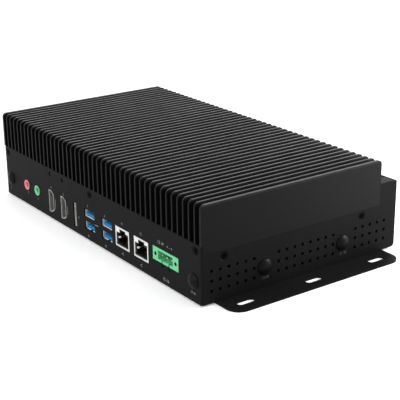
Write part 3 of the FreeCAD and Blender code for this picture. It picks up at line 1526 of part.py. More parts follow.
pieces = [
    make_heat_sink(),
    make_case_wrap(),
    make_case_floor(),
    make_mount_plate("mount_plate_left", "-1"),
    make_mount_plate("mount_plate_right", "1"),
    make_front_screws(),
    make_side_screws(),
    make_plate_screws(),
    make_plate_nuts(),
    make_front_plugs(),
    make_side_plugs(),
    make_main_board(),
    make_board_posts(),
    make_board_screws(),
    make_processor(),
    make_thermal_pad(),
    make_thermal_block(),
    make_block_screws(),
    make_memory_socket(),
    make_memory_module(),
    make_socket("drive_socket", "drive_x", "drive_y", "drive_wide", "drive_lift"),
    make_drive_module(),
    make_drive_post(),
    make_pan_screw(
        "drive_screw", "drive_x", "drive_end", "drive_top", "drive_lift + module_thick - tip_gap",
    ),
    make_cell_holder(),
    make_coin_cell(),
    make_power_coils(),
    make_capacitors(),
    make_interface_chips(),
    make_audio_jack("audio_jack_pink", "pink_x"),
    make_audio_jack("audio_jack_green", "green_x"),
    make_wide_video("video_left_shell", "video_left_x"),
    make_video_blade("video_left_blade", "video_left_x", "video_low", "video_tall"),
    make_wide_video("video_right_shell", "video_right_x"),
    make_video_blade("video_right_blade", "video_right_x", "video_low", "video_tall"),
    make_video_shell(
        "slim_video_shell", "slim_x", slim_port, "port_inset", "slim_wide",
        "slim_low + slim_tall", "port_wall",
    ),
    make_video_blade("slim_video_blade", "slim_x", "slim_low", "slim_tall"),
    make_usb_shell("usb_left_shell", "usb_left_x"),
    make_usb_tongues("usb_left_tongues", "usb_left_x"),
    make_usb_shell("usb_right_shell", "usb_right_x"),
    make_usb_tongues("usb_right_tongues", "usb_right_x"),
    make_lan_shell("lan_left_shell", "lan_left_x"),
    make_lan_housing("lan_left_housing", "lan_left_x"),
    make_lan_pipes("lan_left_lamps", "lan_left_x"),
    make_lan_shell("lan_right_shell", "lan_right_x"),
    make_lan_housing("lan_right_housing", "lan_right_x"),
    make_lan_pipes("lan_right_lamps", "lan_right_x"),
    make_power_header(),
    make_power_pins(),
    make_lamp_board(),
    make_status_lamps(),
    make_lamp_screw(),
]

doc.recompute()
for item in doc.Objects:
    if "Invalid" in item.State or "Error" in item.State:
        raise RuntimeError(f"{item.Label} did not build: {item.State}")
for piece in pieces:
    if piece.Shape.isNull() or not piece.Shape.isValid():
        raise RuntimeError(f"{piece.Label} has no valid shape")

os.makedirs("parts", exist_ok=True)
for piece in pieces:
    piece.Shape.exportStep(f"parts/{piece.Label}.step")
    print(f"{piece.Label}: {len(piece.Shape.Solids)} solids, {piece.Shape.Volume / 1000:.2f} cm3")
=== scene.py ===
import math
import bmesh
import bpy
from mathutils import Matrix, Vector


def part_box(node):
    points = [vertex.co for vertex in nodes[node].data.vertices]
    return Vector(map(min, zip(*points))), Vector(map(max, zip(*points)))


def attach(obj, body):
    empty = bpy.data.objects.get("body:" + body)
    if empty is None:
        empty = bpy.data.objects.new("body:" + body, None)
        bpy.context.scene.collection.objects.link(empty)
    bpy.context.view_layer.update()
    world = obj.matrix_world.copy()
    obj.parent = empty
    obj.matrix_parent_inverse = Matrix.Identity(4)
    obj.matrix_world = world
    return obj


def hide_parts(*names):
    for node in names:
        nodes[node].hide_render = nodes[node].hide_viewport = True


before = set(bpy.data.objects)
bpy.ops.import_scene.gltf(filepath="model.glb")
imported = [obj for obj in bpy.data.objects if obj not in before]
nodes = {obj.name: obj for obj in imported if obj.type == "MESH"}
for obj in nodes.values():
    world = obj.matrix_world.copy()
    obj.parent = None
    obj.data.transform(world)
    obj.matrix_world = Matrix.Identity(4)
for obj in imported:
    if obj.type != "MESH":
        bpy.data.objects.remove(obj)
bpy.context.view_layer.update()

print("frame loaded,", len(nodes), "pieces")

perMetre = 1000     # millimetres in a metre


# Camera, where the photograph was taken from.
camera = {
    "place": (0.5799714, -0.3981210, 0.2653275),
    "azimuth": 54.672004,     # degrees, from the port side towards the right end
    "elevation": 19.666554,
    "roll": -0.647197,
    "lens": 95.112178,        # millimetres
    "sensor": 36,             # millimetres
    "near": 0.01,             # metres, where the view begins
}


def addCamera(values):
    azimuth = math.radians(values["azimuth"])
    elevation = math.radians(values["elevation"])
    roll = math.radians(values["roll"])
    level = math.cos(elevation)
    back = Vector((math.sin(azimuth) * level, -math.cos(azimuth) * level, math.sin(elevation)))
    right = (-back).cross(Vector((0, 0, 1))).normalized()
    up = right.cross(-back)
    turnedRight = math.cos(roll) * right + math.sin(roll) * up
    turnedUp = math.cos(roll) * up - math.sin(roll) * right
    lens = bpy.data.cameras.new("camera")
    lens.lens = values["lens"]
    lens.sensor_width = values["sensor"]
    lens.sensor_fit = "AUTO"
    lens.clip_start = values["near"]
    view = bpy.data.objects.new("camera", lens)
    bpy.context.scene.collection.objects.link(view)
    turn = Matrix((turnedRight, turnedUp, back)).transposed().to_4x4()
    view.matrix_world = Matrix.Translation(values["place"]) @ turn
    bpy.context.scene.camera = view


addCamera(camera)
print("camera placed")


# Light: a pale surround and four softboxes. The top one hangs above, the rim stands behind on the left,
# the fill in front of the ports and the small side one near the right end's rear corner.
studio = {
    "surround": 0.45,                 # strength of the light from all round
    "seen": 1.0,                      # strength of the white that the camera sees there
    "floorColour": (0.92, 0.92, 0.92),
    "floorRoughness": 0.9,
    "floorSpecular": 0.1,
    "floorReach": 6.0,                # metres from the middle to each edge
    "floorGlow": (0.22, 0.60),        # what the camera sees on top, near and far, so that the paper is white
    "glowReach": (0.25, 1.30),        # where near ends and far begins, in metres
    "top": {"place": (0.15, -0.1, 0.95), "aim": (0, 0, 0.03), "size": (1.1, 0.9), "watts": 4},
    "rim": {"place": (-0.85, 0.62, 0.42), "aim": (0, 0, 0.05), "size": (1.3, 0.55), "watts": 6},
    "fill": {"place": (0.02, -1.1, 0.5), "aim": (0, 0, 0.03), "size": (0.8, 0.8), "watts": 8.5},
    "side": {"place": (0.26, 0.30, 0.14), "aim": (0.2, 0.12, 0.0), "size": (0.14, 0.10), "watts": 1.6},
}
white = (1, 1, 1, 1)


def addSoftbox(name, values):
    lamp = bpy.data.lights.new(name, "AREA")
    lamp.shape = "RECTANGLE"
    lamp.size, lamp.size_y = values["size"]
    lamp.energy = values["watts"]
    holder = bpy.data.objects.new(name, lamp)
    bpy.context.scene.collection.objects.link(holder)
    aim = Vector(values["aim"]) - Vector(values["place"])
    holder.rotation_euler = aim.to_track_quat("-Z", "Y").to_euler()
    holder.location = values["place"]


def addMath(tree, operation, *terms):
    # a term is a plain number or the output that it comes from
    node = tree.nodes.new("ShaderNodeMath")
    node.operation = operation
    for socket, term in zip(node.inputs, terms):
        if isinstance(term, float):
            socket.default_value = term
        else:
            tree.links.new(term, socket)
    return node.outputs[0]


def addMap(tree, value, fromLow, fromHigh, toLow, toHigh):
    mapped = tree.nodes.new("ShaderNodeMapRange")
    mapped.inputs["From Min"].default_value = fromLow
    mapped.inputs["From Max"].default_value = fromHigh
    mapped.inputs["To Min"].default_value = toLow
    mapped.inputs["To Max"].default_value = toHigh
    tree.links.new(value, mapped.inputs["Value"])
    return mapped.outputs["Result"]


def addSeenDirectly(tree):
    # 1 where the camera looks straight, by a mirror or through glass, and 0 for light on the object
    path = tree.nodes.new("ShaderNodeLightPath")
    seen = addMath(tree, "MAXIMUM", path.outputs["Is Camera Ray"], path.outputs["Is Glossy Ray"])
    return addMath(tree, "MAXIMUM", seen, path.outputs["Is Transmission Ray"])


def addBackground(tree, strength):
    background = tree.nodes.new("ShaderNodeBackground")
    background.inputs["Color"].default_value = white
    background.inputs["Strength"].default_value = strength
    return background.outputs[0]


def addWorld(values):
    world = bpy.data.worlds.new("surround")
    bpy.context.scene.world = world
    world.use_nodes = True
    tree = world.node_tree
    tree.nodes.clear()
    output = tree.nodes.new("ShaderNodeOutputWorld")
    mixed = tree.nodes.new("ShaderNodeMixShader")
    tree.links.new(addSeenDirectly(tree), mixed.inputs[0])
    tree.links.new(addBackground(tree, values["surround"]), mixed.inputs[1])
    tree.links.new(addBackground(tree, values["seen"]), mixed.inputs[2])
    tree.links.new(mixed.outputs[0], output.inputs[0])


def addFloor(values):
    reach = values["floorReach"]
    corners = [(-reach, -reach, 0), (reach, -reach, 0), (reach, reach, 0), (-reach, reach, 0)]
    mesh = bpy.data.meshes.new("floor")
    mesh.from_pydata(corners, [], [(0, 1, 2, 3)])
    floor = bpy.data.objects.new("floor", mesh)
    bpy.context.scene.collection.objects.link(floor)
    paper = bpy.data.materials.new("paper")
    paper.use_nodes = True
    tree = paper.node_tree
    shader = tree.nodes["Principled BSDF"]
    shader.inputs["Base Color"].default_value = (*values["floorColour"], 1)
    shader.inputs["Roughness"].default_value = values["floorRoughness"]
    shader.inputs["Specular IOR Level"].default_value = values["floorSpecular"]
    shader.inputs["Emission Color"].default_value = white
    distance = tree.nodes.new("ShaderNodeVectorMath")
    distance.operation = "LENGTH"
    tree.links.new(tree.nodes.new("ShaderNodeTexCoord").outputs["Object"], distance.inputs[0])
    spread = addMap(tree, distance.outputs["Value"], *values["glowReach"], *values["floorGlow"])
    glow = addMath(tree, "MULTIPLY", addSeenDirectly(tree), spread)
    tree.links.new(glow, shader.inputs["Emission Strength"])
    mesh.materials.append(paper)


addWorld(studio)
addFloor(studio)
for lampName in ("top", "rim", "fill", "side"):
    addSoftbox(lampName, studio[lampName])
bpy.context.scene.view_settings.view_transform = "Standard"
print("studio lit")


# Finishes. Each is one dictionary, and every value in it may be changed.
# grain: grains per metre along X, Y and Z; bump: their depth; wearAndHighlight: paler metal between two
# heights, in patches, where thinnest is the paler share between them; on the fin tops this is partly wear
# and partly a painted highlight.
finishes = {
    "blackAluminium": {
        "colour": (0.0021, 0.0021, 0.0023), "tint": (0.0044, 0.0044, 0.0047), "metal": 0.0,
        "specular": 0.075, "roughness": (0.36, 0.50), "grain": (1500, 30, 1500), "bump": 0.10,
        # paler fin tops: partly machined wear, partly a painted highlight
        "wearAndHighlight": {
            "colour": (0.036, 0.036, 0.038), "low": 0.0614, "high": 0.0636,
            "patches": 90.0, "thinnest": 0.55},
    },
    "blackSteel": {
        "colour": (0.0052, 0.0052, 0.0055), "tint": (0.0094, 0.0094, 0.0098), "metal": 0.0,
        "specular": 0.030, "roughness": (0.42, 0.56), "grain": (2400, 2400, 2400), "bump": 0.22,
    },
    "blackScrews": {
        "colour": (0.0010, 0.0010, 0.0012), "tint": (0.0026, 0.0026, 0.0026), "metal": 0.0,
        "specular": 0.02, "roughness": (0.30, 0.44), "grain": (900, 900, 900), "bump": 0.05,
    },
    "plainSteel": {
        "colour": (0.42, 0.42, 0.43), "tint": (0.55, 0.55, 0.56), "metal": 1.0,
        "specular": 0.5, "roughness": (0.25, 0.4), "grain": (800, 800, 800), "bump": 0.05,
    },
    "rubberPlastic": {
        "colour": (0.0028, 0.0028, 0.0030), "tint": (0.0055, 0.0055, 0.0058), "metal": 0.0,
        "specular": 0.055, "roughness": (0.34, 0.46), "grain": (1600, 1600, 1600), "bump": 0.12,
    },
    "blackPlastic": {
        "colour": (0.005, 0.005, 0.006), "tint": (0.009, 0.009, 0.010), "metal": 0.0,
        "specular": 0.15, "roughness": (0.4, 0.55), "grain": (1200, 1200, 1200), "bump": 0.1,
    },
    "bladePlastic": {
        "colour": (0.045, 0.045, 0.047), "tint": (0.065, 0.065, 0.067), "metal": 0.0,
        "specular": 0.3, "roughness": (0.4, 0.5), "grain": (1200, 1200, 1200), "bump": 0.06,
    },
    "boardLaminate": {
        "colour": (0.01, 0.06, 0.03), "tint": (0.015, 0.09, 0.045), "metal": 0.0,
        "specular": 0.5, "roughness": (0.3, 0.45), "grain": (400, 400, 400), "bump": 0.05,
    },
    "bareAluminium": {
        "colour": (0.6, 0.6, 0.61), "tint": (0.72, 0.72, 0.73), "metal": 1.0,
        "specular": 0.5, "roughness": (0.3, 0.42), "grain": (60, 1200, 1200), "bump": 0.06,
    },
    "greyPad": {
        "colour": (0.25, 0.26, 0.28), "tint": (0.3, 0.31, 0.33), "metal": 0.0,
        "specular": 0.2, "roughness": (0.7, 0.85), "grain": (700, 700, 700), "bump": 0.2,
    },
    "cellSteel": {
        "colour": (0.6, 0.6, 0.58), "tint": (0.7, 0.7, 0.68), "metal": 1.0,
        "specular": 0.5, "roughness": (0.18, 0.3), "grain": (300, 1500, 300), "bump": 0.04,
    },
    "pinkPlastic": {
        "colour": (0.62, 0.150, 0.182), "tint": (0.67, 0.20, 0.223), "metal": 0.0,
        "specular": 0.4, "roughness": (0.35, 0.45), "grain": (900, 900, 900), "bump": 0.04,
    },
    "greenPlastic": {
        "colour": (0.101, 0.42, 0.196), "tint": (0.143, 0.48, 0.25), "metal": 0.0,
        "specular": 0.4, "roughness": (0.35, 0.45), "grain": (900, 900, 900), "bump": 0.04,
    },
    "nickelShell": {
        "colour": (0.66, 0.65, 0.63), "tint": (0.80, 0.79, 0.77), "metal": 1.0,
        "specular": 0.5, "roughness": (0.22, 0.36), "grain": (1200, 1200, 1200), "bump": 0.04,
    },
    "satinShell": {
        "colour": (0.86, 0.86, 0.84), "tint": (0.95, 0.95, 0.93), "metal": 0.75,
        "specular": 0.5, "roughness": (0.44, 0.56), "grain": (1200, 1200, 1200), "bump": 0.04,
    },
    "dullShell": {
        "colour": (0.44, 0.44, 0.42), "tint": (0.56, 0.56, 0.54), "metal": 0.92,
        "specular": 0.5, "roughness": (0.36, 0.48), "grain": (1200, 1200, 1200), "bump": 0.04,
    },
    "bluePlastic": {
        "colour": (0.0025, 0.130, 0.315), "tint": (0.0050, 0.170, 0.375), "metal": 0.0,
        "specular": 0.12, "roughness": (0.32, 0.42), "grain": (900, 900, 900), "bump": 0.04,
    },
    "clearPlastic": {
        "colour": (0.62, 0.63, 0.60), "tint": (0.75, 0.76, 0.73), "metal": 0.0,
        "specular": 0.5, "roughness": (0.2, 0.3), "grain": (500, 500, 500), "bump": 0.03,
    },
    "smokedPlastic": {
        "colour": (0.006, 0.006, 0.007), "tint": (0.012, 0.012, 0.013), "metal": 0.0,
        "specular": 0.5, "roughness": (0.12, 0.2), "grain": (500, 500, 500), "bump": 0.02,
    },
    "terminalPlastic": {
        "colour": (0.100, 0.47, 0.215), "tint": (0.140, 0.54, 0.275), "metal": 0.0,
        "specular": 0.25, "roughness": (0.4, 0.52), "grain": (900, 900, 900), "bump": 0.06,
    },
    "tinnedBrass": {
        "colour": (0.46, 0.45, 0.41), "tint": (0.60, 0.59, 0.54), "metal": 1.0,
        "specular": 0.5, "roughness": (0.26, 0.38), "grain": (900, 900, 900), "bump": 0.03,
    },
    "contactGold": {
        "colour": (0.50, 0.32, 0.11), "tint": (0.66, 0.44, 0.17), "metal": 1.0,
        "specular": 0.5, "roughness": (0.2, 0.32), "grain": (2000, 2000, 2000), "bump": 0.03,
    },
    # dark steel of the ear threads, also the painted shade of the spring slots
    "threadSteelAndSlotShade": {
        "colour": (0.004, 0.004, 0.0045), "tint": (0.008, 0.008, 0.0085), "metal": 0.0,
        "specular": 0.15, "roughness": (0.3, 0.42), "grain": (1500, 1500, 1500), "bump": 0.05,
    },
    "dimInk": {
        "colour": (0.060, 0.060, 0.062), "tint": (0.095, 0.095, 0.098), "metal": 0.0,
        "specular": 0.1, "roughness": (0.6, 0.75), "grain": (3000, 3000, 3000), "bump": 0.05,
    },
    "paleInk": {
        "colour": (0.20, 0.20, 0.205), "tint": (0.30, 0.30, 0.305), "metal": 0.0,
        "specular": 0.1, "roughness": (0.6, 0.75), "grain": (3000, 3000, 3000), "bump": 0.05,
    },
}
# How the two colours of every finish are spread over it, by fine grain and broad patches.
pattern = {
    "fineShare": 0.5, "fineDetail": 3.0,
    "broadShare": 0.5, "broadDetail": 4.0,
    "broad": 14.0,            # broad patches per metre
    "blend": (0.3, 0.7),      # the first colour up to the one, the second from the other, a blend between
    "bumpReach": 0.0002,      # metres
}


def addNoise(tree, vector, scale, detail):
    noise = tree.nodes.new("ShaderNodeTexNoise")
    noise.inputs["Scale"].default_value = scale
    noise.inputs["Detail"].default_value = detail
    tree.links.new(vector, noise.inputs["Vector"])
    return noise.outputs["Fac"]


def addWearAndHighlight(tree, place, colour, values):
    # paler towards the upper edges, in patches: partly wear and partly a painted highlight
    split = tree.nodes.new("ShaderNodeSeparateXYZ")
    tree.links.new(place, split.inputs[0])
    height = addMap(tree, split.outputs["Z"], values["low"], values["high"], 0.0, 1.0)
    noise = addNoise(tree, place, values["patches"], pattern["fineDetail"])
    patches = addMap(tree, noise, *pattern["blend"], values["thinnest"], 1.0)
    mixed = tree.nodes.new("ShaderNodeMix")
    mixed.data_type = "RGBA"
    tree.links.new(addMath(tree, "MULTIPLY", height, patches), mixed.inputs["Factor"])
    under, over = [socket for socket in mixed.inputs if socket.type == "RGBA"]
    tree.links.new(colour, under)
    over.default_value = (*values["colour"], 1)
    return next(socket for socket in mixed.outputs if socket.type == "RGBA")


def makeFinish(name, values):
    material = bpy.data.materials.new(name)
    material.use_nodes = True
    tree = material.node_tree
    shader = tree.nodes["Principled BSDF"]
    place = tree.nodes.new("ShaderNodeTexCoord").outputs["Object"]
    stretch = tree.nodes.new("ShaderNodeMapping")
    stretch.inputs["Scale"].default_value = values["grain"]
    tree.links.new(place, stretch.inputs["Vector"])
    fine = addNoise(tree, stretch.outputs["Vector"], 1.0, pattern["fineDetail"])
    broad = addNoise(tree, place, pattern["broad"], pattern["broadDetail"])
    broadPart = addMath(tree, "MULTIPLY", broad, pattern["broadShare"])
    both = addMath(tree, "MULTIPLY_ADD", fine, pattern["fineShare"], broadPart)
    ramp = tree.nodes.new("ShaderNodeValToRGB")
    ends = zip(ramp.color_ramp.elements, pattern["blend"], (values["colour"], values["tint"]))
    for element, position, colour in ends:
        element.position = position
        element.color = (*colour, 1)
    tree.links.new(both, ramp.inputs["Fac"])
    spread = ramp.outputs["Color"]
    # paler tops, partly wear and partly a painted highlight
    if "wearAndHighlight" in values:
        spread = addWearAndHighlight(tree, place, spread, values["wearAndHighlight"])
    tree.links.new(spread, shader.inputs["Base Color"])
    rough = addMap(tree, both, *pattern["blend"], *values["roughness"])
    tree.links.new(rough, shader.inputs["Roughness"])
    bump = tree.nodes.new("ShaderNodeBump")
    bump.inputs["Strength"].default_value = values["bump"]
    bump.inputs["Distance"].default_value = pattern["bumpReach"]
    tree.links.new(fine, bump.inputs["Height"])
    tree.links.new(bump.outputs["Normal"], shader.inputs["Normal"])
    shader.inputs["Metallic"].default_value = values["metal"]
    shader.inputs["Specular IOR Level"].default_value = values["specular"]
    return material


materials = {name: makeFinish(name, values) for name, values in finishes.items()}
print("finishes made,", len(materials))

# The CAD pieces that have each finish.
nodeFinish = {
    "blackAluminium": ("heat_sink",),
    "blackSteel": ("case_wrap", "case_floor", "mount_plate_left", "mount_plate_right"),
    "blackScrews": ("front_screws", "side_screws", "plate_screws"),
    "plainSteel": (
        "plate_nuts", "board_posts", "board_screws", "block_screws", "drive_post", "drive_screw",
        "lamp_screw"),
    "rubberPlastic": ("front_plugs", "side_plugs"),
    "blackPlastic": (
        "memory_socket", "drive_socket", "cell_holder", "power_coils", "interface_chips",
        "lan_left_housing", "lan_right_housing"),
    "bladePlastic": ("video_left_blade", "video_right_blade", "slim_video_blade"),
    "boardLaminate": ("main_board", "processor", "memory_module", "drive_module", "lamp_board"),
    "bareAluminium": ("thermal_block", "capacitors"),
    "greyPad": ("thermal_pad",),
    "cellSteel": ("coin_cell",),
    "pinkPlastic": ("audio_jack_pink",),
    "greenPlastic": ("audio_jack_green",),
    "nickelShell": ("lan_left_shell", "lan_right_shell"),
    "satinShell": ("slim_video_shell", "usb_left_shell", "usb_right_shell"),
    "dullShell": ("video_left_shell", "video_right_shell"),
    "bluePlastic": ("usb_left_tongues", "usb_right_tongues"),
    "clearPlastic": ("lan_left_lamps", "lan_right_lamps"),
    "smokedPlastic": ("status_lamps",),
    "terminalPlastic": ("power_header",),
    "tinnedBrass": ("power_pins",),
}
for finishName, nodeNames in nodeFinish.items():
    for nodeName in nodeNames:
        nodeMesh = nodes[nodeName].data
        nodeMesh.materials.clear()
        nodeMesh.materials.append(materials[finishName])
print("finishes set on", sum(len(names) for names in nodeFinish.values()), "pieces")


# Places are in millimetres on the case: X from its middle, Y behind the port side, Z over its underside.
caseStart = {"y": -76.55, "z": 1.2}


def onCase(x, y, z):
    return Vector((x, y + caseStart["y"], z + caseStart["z"])) / perMetre


def addPiece(name, mesh, finish):
    piece = bpy.data.objects.new(name, mesh)
    bpy.context.scene.collection.objects.link(piece)
    mesh.materials.clear()
    mesh.materials.append(materials[finish])
    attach(piece, "root")
    return piece


def joinRings(shape, rings):
    # faces all round from each ring of points to the next
    for first, second in zip(rings, rings[1:]):
        for i in range(len(first)):
            j = (i + 1) % len(first)
            shape.faces.new((first[i], first[j], second[j], second[i]))


def addStrip(shape, path, across, width, thick):
    # a flat bent strip of sheet along a path, as wide as width in the direction of across
    side = Vector(across).normalized() * width / perMetre / 2
    corners = ((-1, -1), (1, -1), (1, 1), (-1, 1))
    rings = []
    for i, point in enumerate(path):
        ahead = path[min(i + 1, len(path) - 1)] - path[max(i - 1, 0)]
        out = ahead.cross(side).normalized() * thick / perMetre / 2
        rings.append([shape.verts.new(point + a * side + b * out) for a, b in corners])
    joinRings(shape, rings)
    shape.faces.new(rings[0][::-1])
    shape.faces.new(rings[-1])


def finishShape(name, shape):
    bmesh.ops.recalc_face_normals(shape, faces=shape.faces)
    mesh = bpy.data.meshes.new(name)
    shape.to_mesh(mesh)
    shape.free()
    return mesh


def makeStrips(name, paths, across, values):
    # one mesh with a strip along each path
    shape = bmesh.new()
    for path in paths:
        addStrip(shape, path, across, values["width"], values["thick"])
    return finishShape(name, shape)


# A row of equal contacts, as a node tree with named sizes.
def makeRowTree():
    tree = bpy.data.node_groups.new("row of contacts", "GeometryNodeTree")
    for label, kind in (("Contact", "NodeSocketGeometry"), ("Count", "NodeSocketInt"),
                        ("Pitch", "NodeSocketVector"), ("Finish", "NodeSocketMaterial")):
        tree.interface.new_socket(name=label, in_out="INPUT", socket_type=kind)
    tree.interface.new_socket(name="Row", in_out="OUTPUT", socket_type="NodeSocketGeometry")
    start = tree.nodes.new("NodeGroupInput")
    line = tree.nodes.new("GeometryNodeMeshLine")
    copies = tree.nodes.new("GeometryNodeInstanceOnPoints")
    real = tree.nodes.new("GeometryNodeRealizeInstances")
    painted = tree.nodes.new("GeometryNodeSetMaterial")
    end = tree.nodes.new("NodeGroupOutput")
    tree.links.new(start.outputs["Count"], line.inputs["Count"])
    tree.links.new(start.outputs["Pitch"], line.inputs["Offset"])
    tree.links.new(line.outputs["Mesh"], copies.inputs["Points"])
    tree.links.new(start.outputs["Contact"], copies.inputs["Instance"])
    tree.links.new(copies.outputs["Instances"], real.inputs["Geometry"])
    tree.links.new(real.outputs["Geometry"], painted.inputs["Geometry"])
    tree.links.new(start.outputs["Finish"], painted.inputs["Material"])
    tree.links.new(painted.outputs["Geometry"], end.inputs["Row"])
    return tree


rowTree = makeRowTree()


def addRow(name, mesh, count, pitch, finish):
    holder = bpy.data.objects.new(name + "_row", mesh)
    bpy.context.scene.collection.objects.link(holder)
    modifier = holder.modifiers.new("row", "NODES")
    modifier.node_group = rowTree
    wanted = {"Count": count, "Pitch": [step / perMetre for step in pitch], "Finish": materials[finish]}
    for socket in rowTree.interface.items_tree:
        if socket.in_out == "INPUT" and socket.name in wanted:
            modifier[socket.identifier] = wanted[socket.name]
    bpy.context.view_layer.update()
    ready = holder.evaluated_get(bpy.context.evaluated_depsgraph_get())
    plain = bpy.data.meshes.new_from_object(ready)
    holder.modifiers.remove(modifier)
    bpy.data.objects.remove(holder)
    bpy.data.meshes.remove(mesh)
    plain.name = name
    addPiece(name, plain, finish)


# Network jacks: eight gold wires that rise to the back of the cavity, and a bright spring in each side wall.
lanMiddles = {"left": 40.5, "right": 62.7}      # X
lanContacts = {
    "places": {"lan_left_wires": lanMiddles["left"], "lan_right_wires": lanMiddles["right"]},
    "count": 8, "pitch": 1.02, "width": 0.45, "thick": 0.22,
    "path": (                                   # Y and Z
        (3.0, 10.15), (3.8, 10.35), (5.5, 10.95), (7.5, 11.65), (9.6, 12.25), (11.6, 12.55), (13.2, 12.6)),
}
lanSprings = {
    "places": {"lan_left_springs": lanMiddles["left"], "lan_right_springs": lanMiddles["right"]},
    "wall": 5.9, "height": 14.0, "width": 1.2, "thick": 0.2,
    "path": (                                   # inward from the wall, and Y
        (0.11, 0.55), (0.45, 1.1), (0.8, 2.0), (0.95, 3.1), (0.8, 4.3), (0.45, 5.5), (0.11, 6.4)),
}


def addLanContacts(values):
    for name, x in values["places"].items():
        first = x - values["pitch"] * (values["count"] - 1) / 2
        path = [onCase(first, y, z) for y, z in values["path"]]
        mesh = makeStrips(name, [path], (1, 0, 0), values)
        addRow(name, mesh, values["count"], (values["pitch"], 0, 0), "contactGold")


def addLanSprings(values):
    for name, x in values["places"].items():
        paths = []
        for side in (-1, 1):
            wall = [(x + side * (values["wall"] - inward), y) for inward, y in values["path"]]
            paths.append([onCase(*place, values["height"]) for place in wall])
        addPiece(name, makeStrips(name, paths, (0, 0, 1), values), "nickelShell")


addLanContacts(lanContacts)
addLanSprings(lanSprings)
print("network jacks' contacts added")


# Serial ports: a blue insert with two tongues low in the mouths, each with a root at its back.
serialMiddles = {"left": -1.7, "right": 20.9}     # X
serialInserts = {
    "places": {
        "usb_left_insert": {
            "node": "usb_left_tongues", "contacts": "usb_left_contacts", "x": serialMiddles["left"]},
        "usb_right_insert": {
            "node": "usb_right_tongues", "contacts": "usb_right_contacts", "x": serialMiddles["right"]}},
    "tongueLow": (7.5, 16.05),                    # Z of the tongues' undersides
    "thick": 2.4, "wide": 11.0, "front": 1.5,
    "root": 5.0,                                  # depth of a root
    "rootEnd": 1.0,                               # what a root has behind its tongue
    "rise": 8.55,                                 # from the lower root to the upper one
    "edge": 0.25, "edgeSteps": 2, "edgeRoundness": 0.5,
}
# Four flat contacts lie on each tongue, along a path in Y.
serialContacts = {
    "count": 4, "pitch": 2.35, "width": 1.1, "thick": 0.12, "clear": 0.01, "path": (4.6, 5.4, 7.4, 9.8)}
# Two dark strips break the lower port's rim, along a path in Y and Z: painted shade standing in for the dark
# inside the spring slots.
serialSlotShade = {
    "places": {"usb_left_slot_shade": serialMiddles["left"], "usb_right_slot_shade": serialMiddles["right"]},
    "across": ((-5.9, 1.1), (1.4, 3.0)),          # middle and width of each slot
    "path": ((0.84, 7.0), (0.84, 7.6), (1.45, 7.6)), "thick": 0.06,
}
# Video ports: flat contacts on both sides of each blade. A place is its X, its lowest Z and a count.
videoContacts = {
    "places": {
        "video_left_contacts": (-55.3, 7.9, 10), "video_right_contacts": (-37.7, 7.9, 10),
        "slim_video_contacts": (-21.4, 7.5, 11)},
    "blade": 0.6,                                 # from a blade's middle to its side
    "pitch": 1.08, "width": 0.5, "thick": 0.1, "clear": 0.01,
    "path": (3.9, 4.6, 6.5, 9.0),
}


def addBlock(shape, low, high, values):
    # a block with rounded edges, between two corners
    places = [(x, y, z) for x in (low.x, high.x) for y in (low.y, high.y) for z in (low.z, high.z)]
    corners = [shape.verts.new(place) for place in places]
    rings = ((0, 1, 3, 2), (4, 6, 7, 5), (0, 4, 5, 1), (2, 3, 7, 6), (0, 2, 6, 4), (1, 5, 7, 3))
    faces = [shape.faces.new([corners[i] for i in ring]) for ring in rings]
    edges = {edge for face in faces for edge in face.edges}
    bmesh.ops.bevel(
        shape, geom=list(edges), offset=values["edge"] / perMetre, segments=values["edgeSteps"],
        profile=values["edgeRoundness"], affect="EDGES")


def addSerialContacts(place, inserts, values):
    first = place["x"] - values["pitch"] * (values["count"] - 1) / 2
    paths = []
    for tongueLow in inserts["tongueLow"]:
        z = tongueLow + inserts["thick"] + values["thick"] / 2 + values["clear"]
        paths.append([onCase(first, y, z) for y in values["path"]])
    mesh = makeStrips(place["contacts"], paths, (1, 0, 0), values)
    addRow(place["contacts"], mesh, values["count"], (values["pitch"], 0, 0), "contactGold")


def addSerialInserts(values, contacts):
    for name, place in values["places"].items():
        low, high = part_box(place["node"])
        rise = values["rise"] / perMetre
        rootTall = high.z - low.z - rise
        rootFront = high.y - values["root"] / perMetre
        shape = bmesh.new()
        for row, tongueLow in enumerate(values["tongueLow"]):
            front = onCase(place["x"] - values["wide"] / 2, values["front"], tongueLow)
            back = onCase(place["x"] + values["wide"] / 2, 0, tongueLow + values["thick"])
            back.y = high.y - values["rootEnd"] / perMetre
            addBlock(shape, front, back, values)
            rootLow = low.z + row * rise
            rootHigh = Vector((high.x, high.y, rootLow + rootTall))
            addBlock(shape, Vector((low.x, rootFront, rootLow)), rootHigh, values)
        insert = addPiece(name, finishShape(name, shape), "bluePlastic")
        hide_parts(place["node"])
        addSerialContacts(place, values, contacts)


# painted shade: a thin dark strip over the rim where each spring slot is
def addSerialSlotShade(values):
    for name, x in values["places"].items():
        shape = bmesh.new()
        for middle, width in values["across"]:
            path = [onCase(x + middle, y, z) for y, z in values["path"]]
            addStrip(shape, path, (1, 0, 0), width, values["thick"])
        addPiece(name, finishShape(name, shape), "threadSteelAndSlotShade")


def addVideoContacts(values):
    out = values["blade"] + values["thick"] / 2 + values["clear"]
    for name, (x, z, count) in values["places"].items():
        paths = [[onCase(x + side * out, y, z) for y in values["path"]] for side in (-1, 1)]
        mesh = makeStrips(name, paths, (0, 0, 1), values)
        addRow(name, mesh, count, (0, 0, values["pitch"]), "contactGold")


addSerialInserts(serialInserts, serialContacts)
addSerialSlotShade(serialSlotShade)
addVideoContacts(videoContacts)
print("serial inserts and video contacts added")


# Power header: a threaded sleeve in each ear, for the screws of the plug. Outer, crest and root are radii.
earThreads = {
    "x": 90.0, "apart": 21.7, "z": 17.75, "outer": 1.28, "crest": 0.98, "root": 1.16,
    "front": -0.28, "back": 6.6, "pitch": 0.5, "sides": 28,
}


